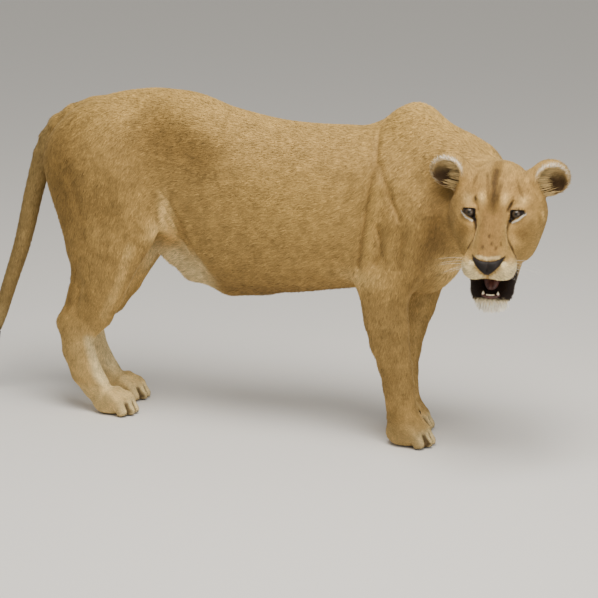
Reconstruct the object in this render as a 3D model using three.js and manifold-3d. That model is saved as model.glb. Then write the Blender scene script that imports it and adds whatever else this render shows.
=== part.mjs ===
// A lioness at life size, standing square on four feet with her head turned to her right.
// Millimetres, +Z up. She faces +X, her left side is +Y, and the floor is z = 0.
//
// Her outline is one closed field: a number at each point that is negative inside the body and positive outside
// it. Muscles, bones and pads are simple solids whose fields are blended, so they run into each other as flesh
// does. Each named piece is that field meshed inside a box at its own fineness and parted by thin plane cuts.
import * as THREE from 'three';
import { mergeVertices } from 'three/addons/utils/BufferGeometryUtils.js';
import Module from 'manifold-3d';

const wasm = await Module();
wasm.setup();

// ---- Driving dimensions ----
const GAP = 0.3; // between neighbouring pieces
const SKIN_BLEND = 45; // how far two neighbouring muscles round into each other
const HAUNCH_BLEND = 90; // the same on the haunch, whose muscles are broad
const FORE_FOOT = [426, 75]; // foot centre: forward, out from the middle plane
const HIND_FOOT = [-473, 83];
const HEAD_AT = [717, -217, 702]; // midway between the eyes
const HEAD_TURN = -80; // degrees from straight ahead, to her right
const HEAD_DROP = 17; // degrees that the muzzle dips
const HEAD_TILT = -0.5; // degrees about the muzzle
const CROWN_SHIFT = 6; // how far the braincase and ears stand to her left of the muzzle's middle plane
const JAW_OPEN = 21; // degrees
const JAW_HINGE = [-95, -60]; // forward and up from between the eyes
const EYE_RADIUS = 19;
const EYE_AT = [7, 62, 6]; // the left eyeball's centre, in the head's own frame
const CLAW = { radius: 4.5, length: 24, hook: 9 };

// Trunk: forward, top, widest level, bottom, half width.
const TRUNK = [
  [-610, 880, 780, 650, 80],
  [-500, 925, 775, 560, 118],
  [-370, 950, 765, 535, 136],
  [-285, 950, 740, 528, 136],
  [-240, 946, 720, 500, 137],
  [-200, 937, 700, 446, 141],
  [-110, 908, 660, 384, 154],
  [60, 880, 640, 390, 165],
  [270, 880, 640, 422, 156],
  [420, 890, 670, 428, 128],
  [530, 830, 690, 492, 95],
];

// Pouch of loose skin under the loin: forward, outward, up, radius.
const POUCH = [
  [-345, 0, 512, 36],
  [-285, 0, 486, 47],
  [-230, 0, 448, 50],
  [-120, 0, 430, 62],
  [-20, 0, 448, 64],
];

// How far a left leg stands ahead of a straight one at each height, and a right leg behind it: up, forward.
const FORE_LEAN = [
  [0, -25],
  [100, -24],
  [200, -19],
  [290, -6],
  [370, 9],
  [450, 17],
  [650, 12],
  [900, 0],
];
const HIND_LEAN = [
  [0, -18],
  [220, -25],
  [380, -12],
  [560, 0],
];

// Chains of rounded lengths: forward, outward, up, radius.
const FOREARM = [
  [396, 110, 460, 74],
  [388, 101, 350, 64],
  [384, 94, 290, 58],
  [388, 87, 230, 51],
  [392, 83, 170, 46],
  [400, 80, 95, 45],
];
const SHANK = [
  [-458, 98, 500, 100],
  [-497, 93, 370, 66],
  [-530, 90, 305, 55],
  [-575, 87, 255, 48],
];
const HEEL_CORD = [
  [-552, 92, 490, 30],
  [-580, 92, 400, 20],
  [-617, 88, 300, 20],
  [-632, 87, 262, 28],
];
const LONG_FOOT = [
  [-606, 87, 250, 50],
  [-597, 86, 185, 50],
  [-573, 84, 120, 46],
  [-540, 83, 75, 42],
];
const TAIL = [
  [-540, 0, 868, 56],
  [-656, 0, 820, 38],
  [-712, 0, 742, 32],
  [-747, 0, 628, 30],
  [-789, 0, 474, 27],
  [-841, 0, 330, 24],
  [-884, 0, 215, 22],
];
const TAIL_TUFT = { at: [-921, 0, 140], radii: [28, 27, 78], tilt: 27 };

// Toes, from the foot's centre: forward reach, outward.
const TOES = [
  [50, -37],
  [66, -13],
  [65, 13],
  [49, 36],
];

// ---- Fields ----
const radians = THREE.MathUtils.degToRad;

// Union of two fields, rounded over a band of width k where they meet.
function blend(a, b, k) {
  const h = Math.max(k - Math.abs(a - b), 0) / k;
  return Math.min(a, b) - (h * h * k) / 4;
}

// Field a with field b scooped out of it, the lip rounded over k.
function scoop(a, b, k) {
  return -blend(-a, b, k);
}

// Ellipsoid. A positive tilt, in degrees about the crosswise axis, dips its front end.
function mass([x, y, z], [cx, cy, cz], [rx, ry, rz], tilt = 0) {
  const c = Math.cos(radians(tilt));
  const s = Math.sin(radians(tilt));
  const u = (x - cx) * c - (z - cz) * s;
  const w = (x - cx) * s + (z - cz) * c;
  const v = y - cy;
  const size = Math.hypot(u / rx, v / ry, w / rz) + 1e-6;
  const slope = Math.hypot(u / (rx * rx), v / (ry * ry), w / (rz * rz)) + 1e-6 / Math.min(rx, ry, rz);
  return ((size - 1) * size) / slope;
}

// Limb: a round bar from a to b whose radius runs from ra to rb, flattened crosswise by the factor wide.
function limb([x, y, z], [ax, ay, az], [bx, by, bz], ra, rb, wide = 1) {
  const dx = bx - ax;
  const dy = by - ay;
  const dz = bz - az;
  const along = ((x - ax) * dx + (y - ay) * dy + (z - az) * dz) / (dx * dx + dy * dy + dz * dz);
  const t = Math.min(Math.max(along, 0), 1);
  return Math.hypot(x - ax - dx * t, (y - ay - dy * t) / wide, z - az - dz * t) - ra - (rb - ra) * t;
}

// A column of a table read at x, as a smooth curve through its rows.
function profile(table, column, x) {
  const last = table.length - 1;
  if (x <= table[0][0]) return table[0][column];
  if (x >= table[last][0]) return table[last][column];
  let i = 0;
  while (table[i + 1][0] < x) i += 1;
  const slope = (k) => {
    const a = table[Math.max(k - 1, 0)];
    const b = table[Math.min(k + 1, last)];
    return (b[column] - a[column]) / (b[0] - a[0]);
  };
  const span = table[i + 1][0] - table[i][0];
  const t = (x - table[i][0]) / span;
  const from = table[i][column];
  const rise = table[i + 1][column] - from;
  const lean = slope(i) * span;
  const curve = 3 * rise - (2 * slope(i) + slope(i + 1)) * span;
  const turn = (slope(i) + slope(i + 1)) * span - 2 * rise;
  return from + t * (lean + t * (curve + t * turn));
}

// Barrel of the trunk: at each x a squared-off oval between the table's top and bottom.
function barrel([x, y, z]) {
  const middle = profile(TRUNK, 2, x);
  const high = z > middle ? profile(TRUNK, 1, x) - middle : middle - profile(TRUNK, 3, x);
  const wide = profile(TRUNK, 4, x);
  const power = 2.2;
  const u = Math.abs(y) / wide + 1e-6;
  const v = Math.abs(z - middle) / high + 1e-6;
  const size = (u ** power + v ** power) ** (1 / power);
  const slope = Math.hypot(u ** (power - 1) / wide, v ** (power - 1) / high) / size ** (power - 1);
  const ends = Math.max(TRUNK[0][0] - x, x - TRUNK[TRUNK.length - 1][0]);
  return scoop((size - 1) / slope, -ends, 60);
}

// A chain of limbs through a table's rows, rounded a little where they meet.
function chain(p, rows, wide = 1, k = 8) {
  const lengths = rows.slice(1).map((to, i) => {
    const from = rows[i];
    return limb(p, from.slice(0, 3), to.slice(0, 3), from[3], to[3], wide);
  });
  return lengths.reduce((a, b) => blend(a, b, k));
}

// A leg's own frame: outward is positive whichever side it is on, and its lean is taken out.
const legPoint = ([x, y, z], side, lean) => [x - side * profile(lean, 1, z), y * side, z];

// Paw: a broad pad, and four toes that arch from it to the ground.
function paw(q, [forward, outward], wide = 1) {
  const p = [q[0] - forward, (q[1] - outward) / wide, q[2]];
  let d = mass(p, [-16, 0, 34], [58, 48, 40]);
  for (const [reach, out] of TOES) {
    const knuckle = [reach - 34, out * 0.94, 42];
    const tip = [reach - 17, out, 16];
    d = blend(d, limb(p, [-8, out * 0.6, 50], knuckle, 25, 19), 12);
    d = blend(d, limb(p, knuckle, tip, 19, 17), 6);
  }
  return d;
}

// Foreleg: shoulder blade, upper arm and its long back muscle, forearm, wrist, inner toe and paw.
function foreleg(p, side) {
  const q = legPoint(p, side, FORE_LEAN);
  let d = limb(q, [432, 40, 885], [500, 104, 650], 46, 92, 0.7);
  d = blend(d, limb(q, [500, 100, 640], [405, 110, 475], 88, 68, 0.78), SKIN_BLEND);
  d = blend(d, limb(q, [375, 90, 720], [378, 110, 490], 95, 62, 0.6), SKIN_BLEND);
  d = blend(d, chain(q, FOREARM, 0.82), 30);
  d = blend(d, mass(q, [412, 77, 60], [50, 42, 34]), 25);
  d = blend(d, limb(q, [414, 50, 122], [430, 37, 98], 13, 11), 10);
  return blend(d, paw(q, FORE_FOOT), 20);
}

// Hind leg: thigh with the hamstrings behind it, shank, heel cord and heel, long foot and paw.
function hindleg(p, side) {
  const q = legPoint(p, side, HIND_LEAN);
  let d = mass(q, [-490, 74, 745], [160, 82, 165], 12);
  d = blend(d, limb(q, [-440, 85, 690], [-385, 104, 575], 112, 80, 0.62), HAUNCH_BLEND);
  d = blend(d, limb(q, [-570, 66, 730], [-530, 92, 500], 84, 76, 0.62), HAUNCH_BLEND);
  d = blend(d, chain(q, SHANK, 0.66), 60);
  d = blend(d, chain(q, HEEL_CORD, 0.8), 30);
  d = blend(d, chain(q, LONG_FOOT, 0.8), 25);
  return blend(d, paw(q, HIND_FOOT, 0.9), 20);
}

// Tail: a chain that thins to the tuft.
const tail = (p) => blend(mass(p, TAIL_TUFT.at, TAIL_TUFT.radii, TAIL_TUFT.tilt), chain(p, TAIL, 1, 4), 20);

// Neck: the nape's ridge, the neck itself and the throat, bending together to the back of the head.
function neck(p) {
  let d = limb(p, [420, 0, 893], [600, -12, 785], 52, 66, 1.1);
  d = blend(d, limb(p, [420, 0, 800], [555, -2, 745], 118, 114, 0.8), SKIN_BLEND);
  d = blend(d, limb(p, [555, -2, 745], [655, -40, 720], 108, 88, 0.9), SKIN_BLEND);
  d = blend(d, limb(p, [655, -40, 720], [700, -100, 704], 88, 82), 20);
  d = blend(d, limb(p, [500, 0, 620], [600, -40, 650], 112, 92, 0.85), SKIN_BLEND);
  return blend(d, limb(p, [600, -40, 650], [688, -125, 650], 92, 76), 20);
}

// The head's own frame: x forward along the muzzle, y to her left, z up, zero midway between the eyes.
const headFrame = new THREE.Object3D();
headFrame.position.set(...HEAD_AT);
headFrame.rotation.set(radians(HEAD_TILT), radians(HEAD_DROP), radians(HEAD_TURN), 'ZYX');
headFrame.updateMatrixWorld();
const intoHead = headFrame.matrixWorld.clone().invert();
const headPoint = (p) => new THREE.Vector3(...p).applyMatrix4(intoHead).toArray();
const fromHead = (q) => new THREE.Vector3(...q).applyMatrix4(headFrame.matrixWorld).toArray();

// Upper head: braincase, brow, cheekbones and the ruff behind them, jowls, bridge of the nose, whisker pads.
function upperHead([x, y, z]) {
  const crown = [x, Math.abs(y - CROWN_SHIFT), z];
  const face = [x, Math.abs(y), z];
  let d = mass(crown, [-92, 0, 28], [108, 86, 66]);
  d = blend(d, mass(crown, [-36, 28, 4], [58, 54, 42], 28), 26);
  d = blend(d, mass(crown, [-42, 64, -34], [82, 56, 54]), 26);
  d = blend(d, mass(crown, [-76, 72, -24], [60, 56, 76]), 30);
  d = blend(d, mass(crown, [-34, 57, -88], [84, 52, 58]), 35);
  d = blend(d, mass(face, [36, 28, -76], [72, 44, 42]), 30);
  d = blend(d, limb(face, [-10, 13, 8], [132, 14, -80], 31, 28), 18);
  d = blend(d, mass(face, [88, 0, -90], [70, 60, 36]), 20);
  return blend(d, mass(face, [108, 38, -92], [50, 35, 33]), 12);
}

// Lower jaw and chin, swung open about the hinge.
function jaw([x, y, z]) {
  const c = Math.cos(radians(JAW_OPEN));
  const s = Math.sin(radians(JAW_OPEN));
  const forward = x - JAW_HINGE[0];
  const up = z - JAW_HINGE[1];
  const q = [JAW_HINGE[0] + forward * c - up * s, Math.abs(y), JAW_HINGE[1] + forward * s + up * c];
  return blend(limb(q, [-50, 32, -98], [74, 26, -142], 54, 34), mass(q, [98, 0, -146], [44, 56, 30]), 18);
}

// Mouth: the air between the jaws.
const mouth = (q) => mass(q, [98, 0, -161], [88, 72, 42], 12);

// Ear: a round cup that opens forwards and outwards, the right one held a little higher.
const EAR = { at: [-108, 138, 57], radii: [34, 51, 51], hollow: [-83, 141, 52], hollowRadii: [29, 36, 38] };
function ears([x, y, z]) {
  const q = [x, Math.abs(y - CROWN_SHIFT), z - 10 + 0.03 * y];
  const root = limb(q, [-104, 92, 36], [-110, 124, 52], 40, 38);
  return scoop(blend(root, mass(q, EAR.at, EAR.radii), 20), mass(q, EAR.hollow, EAR.hollowRadii), 6);
}

// The whole body, out to the tips of her coat.
function body(p) {
  const q = headPoint(p);
  let d = blend(barrel(p), mass(p, [455, 0, 592], [110, 112, 168], -8), 60);
  d = blend(d, chain(p, POUCH, 0.8, 20), 36);
  for (const side of [-1, 1]) {
    d = blend(d, foreleg(p, side), SKIN_BLEND);
    d = blend(d, hindleg(p, side), SKIN_BLEND);
  }
  d = blend(d, neck(p), 60);
  d = blend(d, tail(p), 20);
  d = blend(d, blend(upperHead(q), jaw(q), 16), 40);
  d = blend(d, ears(q), 12);
  return scoop(d, mouth(q), 8);
}

// The same field in the head's own frame.
const bodyFromHead = (q) => body(fromHead(q));

// ---- Meshing ----
// The surface where a field is zero, inside a box: one vertex in each grid cell that the surface crosses, drawn
// onto the surface, and one face across each grid edge that it cuts. The box's own walls close it.
function fieldGeometry(field, [low, high], cell) {
  const wall = (p) => Math.max(...p.map((v, a) => Math.max(low[a] - v, v - high[a])));
  const closed = (p) => Math.max(field(p), wall(p));
  const first = low.map((v, a) => v - cell[a] * 0.6);
  const count = first.map((v, a) => Math.ceil((high[a] - v) / cell[a]) + 2);
  const stride = [1, count[0], count[0] * count[1]];
  const place = (at) => at.map((n, a) => first[a] + n * cell[a]);
  const each = (visit) => {
    for (let k = 0; k < count[2]; k += 1) {
      for (let j = 0; j < count[1]; j += 1) {
        for (let i = 0; i < count[0]; i += 1) visit([i, j, k], i + j * stride[1] + k * stride[2]);
      }
    }
  };
  const samples = new Float64Array(count[0] * count[1] * count[2]);
  each((at, n) => {
    samples[n] = closed(place(at));
  });
  // Where only two opposite corners of a grid face are inside, the surface would pinch, so a third is taken in.
  let pinched = true;
  while (pinched) {
    pinched = false;
    each((at, n) => {
      for (let axis = 0; axis < 3; axis += 1) {
        const [across, over] = [(axis + 1) % 3, (axis + 2) % 3];
        if (at[across] + 1 >= count[across] || at[over] + 1 >= count[over]) continue;
        const face = [n, n + stride[across], n + stride[across] + stride[over], n + stride[over]];
        const [a, b, c, d] = face.map((m) => samples[m] < 0);
        if (a !== c || b !== d || a === b) continue;
        const [near, far] = a ? [face[1], face[3]] : [face[0], face[2]];
        samples[samples[near] < samples[far] ? near : far] = -1e-3;
        pinched = true;
      }
    });
  }
  const corners = [0, 1, 2, 3, 4, 5, 6, 7].map((c) => [c & 1, (c >> 1) & 1, c >> 2]);
  const positions = [];
  const vertexOf = new Map();
  each((at, n) => {
    if (at.some((v, a) => v + 1 >= count[a])) return;
    const values = corners.map(([a, b, c]) => samples[n + a + b * stride[1] + c * stride[2]]);
    const sum = [0, 0, 0];
    let crossings = 0;
    for (let a = 0; a < 8; a += 1) {
      for (const bit of [1, 2, 4]) {
        const b = a | bit;
        if (b === a || values[a] < 0 === values[b] < 0) continue;
        const t = values[a] / (values[a] - values[b]);
        corners[a].forEach((v, axis) => {
          sum[axis] += v + (corners[b][axis] - v) * t;
        });
        crossings += 1;
      }
    }
    if (!crossings) return;
    const start = place(at).map((v, axis) => v + (sum[axis] / crossings) * cell[axis]);
    vertexOf.set(n, positions.length / 3);
    positions.push(...settle(closed, start, Math.min(...cell) / 2));
  });
  const triangles = [];
  each((at, n) => {
    for (let axis = 0; axis < 3; axis += 1) {
      if (at[axis] + 1 >= count[axis] || samples[n] < 0 === samples[n + stride[axis]] < 0) continue;
      const u = stride[(axis + 1) % 3];
      const v = stride[(axis + 2) % 3];
      const ring = [n, n - u, n - u - v, n - v].map((c) => vertexOf.get(c));
      if (samples[n] >= 0) ring.reverse();
      const corner = ring.map((c) => new THREE.Vector3().fromArray(positions, c * 3));
      const short = corner[0].distanceTo(corner[2]) < corner[1].distanceTo(corner[3]);
      const [a, b, c, d] = short ? ring : [ring[1], ring[2], ring[3], ring[0]];
      triangles.push(a, b, c, a, c, d);
    }
  });
  const geometry = new THREE.BufferGeometry();
  geometry.setAttribute('position', new THREE.Float32BufferAttribute(positions, 3));
  geometry.setIndex(triangles);
  return geometry;
}

// A point moved down the field's slope onto its zero surface, or left where it is if that is too far.
function settle(field, start, furthest) {
  const step = 0.5;
  let p = start;
  for (let round = 0; round < 3; round += 1) {
    const slope = p.map((v, axis) => {
      const probe = (h) => field(p.map((w, a) => (a === axis ? w + h : w)));
      return (probe(step) - probe(-step)) / (2 * step);
    });
    const square = slope.reduce((total, v) => total + v * v, 1e-9);
    const distance = field(p);
    p = p.map((v, axis) => v - (distance * slope[axis]) / square);
  }
  return Math.hypot(...p.map((v, axis) => v - start[axis])) < furthest ? p : start;
}

// ---- Solids ----
function merged(geometry) {
  const bare = geometry.clone();
  bare.deleteAttribute('normal');
  bare.deleteAttribute('uv');
  return mergeVertices(bare, 1e-4);
}

function solidFrom(geometry) {
  const { attributes, index } = merged(geometry);
  const triVerts = new Uint32Array(index.array);
  return new wasm.Manifold(
    new wasm.Mesh({ numProp: 3, vertProperties: attributes.position.array, triVerts }),
  );
}

function geometryFrom(solid) {
  const mesh = solid.getMesh();
  const geometry = new THREE.BufferGeometry();
  geometry.setAttribute('position', new THREE.BufferAttribute(new Float32Array(mesh.vertProperties), 3));
  geometry.setIndex(new THREE.BufferAttribute(new Uint32Array(mesh.triVerts), 1));
  return geometry;
}

// The same shape with its skin moved outwards, to cut a seat for it with clearance.
function grown(geometry, by = GAP) {
  const bigger = merged(geometry);
  bigger.computeVertexNormals();
  const { position, normal } = bigger.attributes;
  const at = new THREE.Vector3();
  const out = new THREE.Vector3();
  for (let i = 0; i < position.count; i += 1) {
    at.fromBufferAttribute(position, i).addScaledVector(out.fromBufferAttribute(normal, i), by);
    position.setXYZ(i, at.x, at.y, at.z);
  }
  return solidFrom(bigger);
}

// A plane cut through a point, half the gap taken from each side: ahead() keeps what lies on the side that its
// normal points to, behind() the other side, and beyond() keeps what has to be cleared away for ahead().
function cut(point, direction) {
  const normal = new THREE.Vector3(...direction).normalize();
  const level = normal.dot(new THREE.Vector3(...point));
  const back = normal.clone().negate();
  return {
    ahead: (solid) => solid.trimByPlane(normal.toArray(), level + GAP / 2),
    behind: (solid) => solid.trimByPlane(back.toArray(), -level + GAP / 2),
    beyond: (solid) => solid.trimByPlane(normal.toArray(), level - GAP / 2),
    flipped: () => cut(point, back.toArray()),
    moved: (matrix) => cut(
      new THREE.Vector3(...point).applyMatrix4(matrix).toArray(),
      new THREE.Vector3(...direction).transformDirection(matrix).toArray(),
    ),
  };
}

// The largest body of a solid, so that no chip is left by a cut.
const mainBody = (solid) => solid.decompose().reduce((a, b) => (b.volume() > a.volume() ? b : a));

// A piece of the body: its field meshed in a box, then trimmed by each keeper in turn.
function piece(field, box, cell, keepers) {
  const whole = solidFrom(fieldGeometry(field, box, cell));
  return mainBody(keepers.reduce((solid, keep) => keep(solid), whole));
}

// ---- Materials ----
const finish = (color, roughness) => new THREE.MeshStandardMaterial({ color, roughness, metalness: 0 });
const coat = finish(0xb2935f, 0.9);
const paleCoat = finish(0xc6b083, 0.9);
const tailCoat = finish(0x8b754d, 0.9);
const tuftCoat = finish(0x3a2a1a, 0.95);
const noseLeather = finish(0x3a281c, 0.5);
const eyeAmber = finish(0x8a6a3a, 0.15);
const tongueFlesh = finish(0x8f4f48, 0.5);
const toothEnamel = finish(0xe8e2d0, 0.35);
const clawHorn = finish(0x3b322a, 0.45);

const lioness = new THREE.Group();
const figure = new THREE.Group();
lioness.add(figure);
function add(name, geometry, material, parent = figure) {
  const mesh = new THREE.Mesh(geometry, material);
  mesh.name = name;
  parent.add(mesh);
  return mesh;
}
const addSolid = (name, solid, material, parent) => add(name, geometryFrom(solid), material, parent);

// ---- Cuts ----
const floor = cut([0, 0, -GAP / 2], [0, 0, 1]);
const loinCut = cut([-255, 0, 700], [1, 0, 0.12]);
const ribCut = cut([215, 0, 650], [1, 0, -0.12]);
const neckCut = cut([562, 0, 740], [0.75, -0.45, 0.48]);
const headCut = cut([-165, 0, 60], [0.925, 0, 0.378]); // this and the next four are in the head's own frame
const earCut = (side) => cut([-106, side * 108, 46], [-0.05, side * 0.82, 0.57]);
const muzzleCut = cut([46, 0, -60], [1, 0, 0]);
const jawBack = cut([34, 0, -160], [0.98, 0, -0.2]);
const jawTop = cut([98, 0, -158], [-0.2, 0, -0.98]);
const noseSide = (side) => cut([150, side * 43, -58], [0, side * 0.656, -0.755]);
const noseTop = cut([149, 0, -60], [-0.25, 0, 0.968]);
const noseBack = cut([118, 0, -70], [1, 0, 0]);
const tailCut = cut([-664, 0, 800], [-1, 0, 0]);
const tailMiddleCut = cut([-757, 0, 620], [-0.1, 0, -1]);
const tailTipCut = cut([-868, 0, 270], [-0.35, 0, -0.94]);
const armCut = (side) => cut([400, side * 112, 540], [0, side * 0.885, -0.465]);
const armBack = cut([292, 0, 560], [0.97, 0, -0.26]);
const elbowCut = cut([390, 0, 452], [0.1, 0, 1]);
const wristCut = cut([400, 0, 128], [0, 0, 1]);
const thighCut = (side) => cut([-500, side * 85, 660], [0, side * 0.906, -0.423]);
const thighFront = cut([-300, 0, 580], [-0.96, 0, -0.27]);
const kneeCut = cut([-450, 0, 470], [0.25, 0, 0.97]);
const hockCut = cut([-560, 0, 292], [0.1, 0, 1]);
const toeCut = cut([-540, 0, 92], [-0.15, 0, 1]);

// Mesh cells: forward, sideways, up.
const TRUNK_CELL = [122, 72, 76];
const RUMP_CELL = [78, 58, 64];
const NECK_CELL = [54, 52, 52];
const LEG_CELL = [48, 37, 82];
const SHANK_CELL = [42, 34, 62];
const PAW_CELL = [34, 20, 26];
const TAIL_CELL = [27, 25, 66];
const HEAD_CELL = [50, 36, 34];
const MUZZLE_CELL = [26, 20, 20];
const EAR_CELL = [15, 13, 14];

const SIDES = [
  [-1, 'right'],
  [1, 'left'],
];

// A box that lies on one side of the middle plane, given by its inner and outer distance from it.
function sideBox(side, [x0, x1], [inner, outer], [z0, z1]) {
  const [y0, y1] = side > 0 ? [inner, outer] : [-outer, -inner];
  return [[x0, y0, z0], [x1, y1, z1]];
}

// ---- Trunk: chest, belly and rump, with room cut for the legs ----
// The room that a piece takes out of its neighbour: a block, cut back by the piece's own cuts.
const block = solidFrom(new THREE.BoxGeometry(2400, 2400, 2400));
const room = (cuts) => cuts.reduce((solid, c) => c.beyond(solid), block);
const sideOf = (side) => cut([0, side * GAP, 0], [0, side, 0]);

let chest = piece(body, [[150, -230, 360], [720, 230, 1010]], TRUNK_CELL, [ribCut.ahead, neckCut.behind]);
let rump = piece(body, [[-780, -230, 420], [-180, 230, 1010]], RUMP_CELL, [loinCut.behind, tailCut.behind]);
for (const [side] of SIDES) {
  chest = chest.subtract(room([sideOf(side), armCut(side), armBack]));
  rump = rump.subtract(room([sideOf(side), thighCut(side), thighFront]));
}
addSolid('chest', mainBody(chest), coat);
addSolid('rump', mainBody(rump), coat);
const belly = piece(body, [[-330, -230, 330], [290, 230, 1010]], TRUNK_CELL, [loinCut.ahead, ribCut.behind]);
addSolid('belly', belly, coat);

// ---- Legs ----
for (const [side, hand] of SIDES) {
  const arm = [armCut(side).ahead, armBack.ahead];
  const thigh = [thighCut(side).ahead, thighFront.ahead];
  const lengths = [
    ['upper_foreleg', [230, 640], [400, 960], LEG_CELL, [...arm, elbowCut.ahead, neckCut.behind], coat],
    ['forearm', [270, 520], [100, 520], LEG_CELL, [...arm, elbowCut.behind, wristCut.ahead], coat],
    ['thigh', [-760, -220], [380, 960], LEG_CELL, [...thigh, kneeCut.ahead], coat],
    ['shank', [-720, -280], [240, 580], SHANK_CELL, [...thigh, kneeCut.behind, hockCut.ahead], coat],
    ['hind_foot', [-720, -440], [40, 330], LEG_CELL, [hockCut.behind, toeCut.ahead], paleCoat],
  ];
  for (const [name, across, up, cell, keepers, material] of lengths) {
    const box = sideBox(side, across, [0.5, 230], up);
    addSolid(`${name}_${hand}`, piece(body, box, cell, keepers), material);
  }
}

// ---- Paws and claws ----
// A claw: a cone bent down along its length, its root at the origin and its tip forwards.
function clawGeometry() {
  const { radius, length, hook } = CLAW;
  const geometry = new THREE.ConeGeometry(radius, length, 5, 2).rotateZ(-Math.PI / 2).translate(length / 2, 0, 0);
  const { position } = geometry.attributes;
  for (let i = 0; i < position.count; i += 1) {
    const along = position.getX(i) / length;
    position.setZ(i, position.getZ(i) - hook * along * along);
  }
  return geometry;
}

// Where each claw leaves a foot: forward and outward of the foot's centre, up, and how far it dips.
const TOE_CLAWS = TOES.map(([reach, out]) => [reach - 20, out, 22, 20]);
const INNER_CLAW = [3, -40, 98, 40];

function clawOn(side, lean, [forward, outward], [reach, out, up, dip]) {
  const along = forward + reach + side * profile(lean, 1, up);
  return clawGeometry().rotateY(radians(dip)).translate(along, side * (outward + out), up);
}

function addPaw(name, hand, box, keepers, claws, material) {
  let solid = piece(body, box, PAW_CELL, keepers);
  for (const claw of claws) solid = solid.subtract(grown(claw, 2 * GAP));
  addSolid(`${name}_${hand}`, mainBody(solid), material);
  claws.forEach((claw, i) => add(`${name}_${hand}_claw_${i + 1}`, merged(claw), clawHorn));
}

for (const [side, hand] of SIDES) {
  const foreClaws = [...TOE_CLAWS, INNER_CLAW].map((claw) => clawOn(side, FORE_LEAN, FORE_FOOT, claw));
  const hindClaws = TOE_CLAWS.map((claw) => clawOn(side, HIND_LEAN, HIND_FOOT, claw));
  const foreBox = sideBox(side, [310, 560], [0.5, 170], [-20, 160]);
  const hindBox = sideBox(side, [-660, -340], [0.5, 170], [-20, 150]);
  addPaw('forepaw', hand, foreBox, [wristCut.behind, floor.ahead], foreClaws, coat);
  addPaw('hind_paw', hand, hindBox, [toeCut.behind, floor.ahead], hindClaws, paleCoat);
}

// ---- Tail ----
const TAIL_LENGTHS = [
  ['tail_base', [[-800, -60, 560], [-620, 60, 900]], [tailCut.ahead, tailMiddleCut.behind], tailCoat],
  ['tail_middle', [[-920, -50, 230], [-700, 50, 660]], [tailMiddleCut.ahead, tailTipCut.behind], tailCoat],
  ['tail_tip', [[-1010, -60, 30], [-820, 60, 330]], [tailTipCut.ahead], tuftCoat],
];
for (const [name, box, keepers, material] of TAIL_LENGTHS) {
  addSolid(name, piece(body, box, TAIL_CELL, keepers), material);
}

// ---- Neck, ears and head ----
const headGroup = new THREE.Group();
headGroup.position.copy(headFrame.position);
headGroup.rotation.copy(headFrame.rotation);
figure.add(headGroup);

const neckBox = [[380, -330, 440], [860, 220, 1010]];
let neckSolid = piece(body, neckBox, NECK_CELL, [neckCut.ahead, headCut.moved(headFrame.matrixWorld).behind]);
for (const [side, hand] of SIDES) {
  const earBox = sideBox(side, [-175, -40], [70, 230], [-20, 150]);
  const ear = geometryFrom(piece(ears, earBox, EAR_CELL, [earCut(side).ahead]));
  neckSolid = neckSolid.subtract(grown(ear.clone().applyMatrix4(headFrame.matrixWorld)));
  add(`ear_${hand}`, ear, coat, headGroup);
}
addSolid('neck', mainBody(neckSolid), coat);

const headBox = [[-230, -200, -270], [110, 200, 150]];
const neckKeeper = neckCut.moved(intoHead).ahead;
const headKeepers = [headCut.ahead, neckKeeper, earCut(-1).behind, earCut(1).behind];
const jawRoom = room([jawBack, jawTop]);
const skull = piece(bodyFromHead, headBox, HEAD_CELL, headKeepers).subtract(jawRoom);

// Muzzle, nose pad and lower jaw: parted from one mesh, so that their outlines run on from each other.
const snout = piece(bodyFromHead, [[10, -120, -270], [190, 120, 80]], MUZZLE_CELL, []);
const noseCuts = [noseBack, noseTop.flipped(), noseSide(-1).flipped(), noseSide(1).flipped()];
addSolid('nose_pad', mainBody(noseCuts.reduce((solid, c) => c.ahead(solid), snout)), noseLeather, headGroup);
const muzzle = muzzleCut.ahead(snout).subtract(jawRoom).subtract(room(noseCuts));
const lowerJawWhole = mainBody([jawBack, jawTop].reduce((solid, c) => c.ahead(solid), snout));

// Eyes, seated in the head.
let head = muzzleCut.behind(skull);
for (const [side, hand] of SIDES) {
  const eye = new THREE.SphereGeometry(EYE_RADIUS, 12, 8).translate(EYE_AT[0], side * EYE_AT[1], EYE_AT[2]);
  head = head.subtract(grown(eye));
  add(`eye_${hand}`, merged(eye), eyeAmber, headGroup);
}

// Tongue: a flat tapered body on the floor of the mouth.
const tongue = new THREE.SphereGeometry(1, 12, 8).scale(38, 21, 11).rotateY(radians(28)).translate(38, 0, -172);
const tongueSeat = grown(tongue);
addSolid('head', mainBody(head.subtract(tongueSeat)), coat, headGroup);
addSolid('muzzle', mainBody(muzzle), coat, headGroup);
add('tongue', merged(tongue), tongueFlesh, headGroup);

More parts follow.
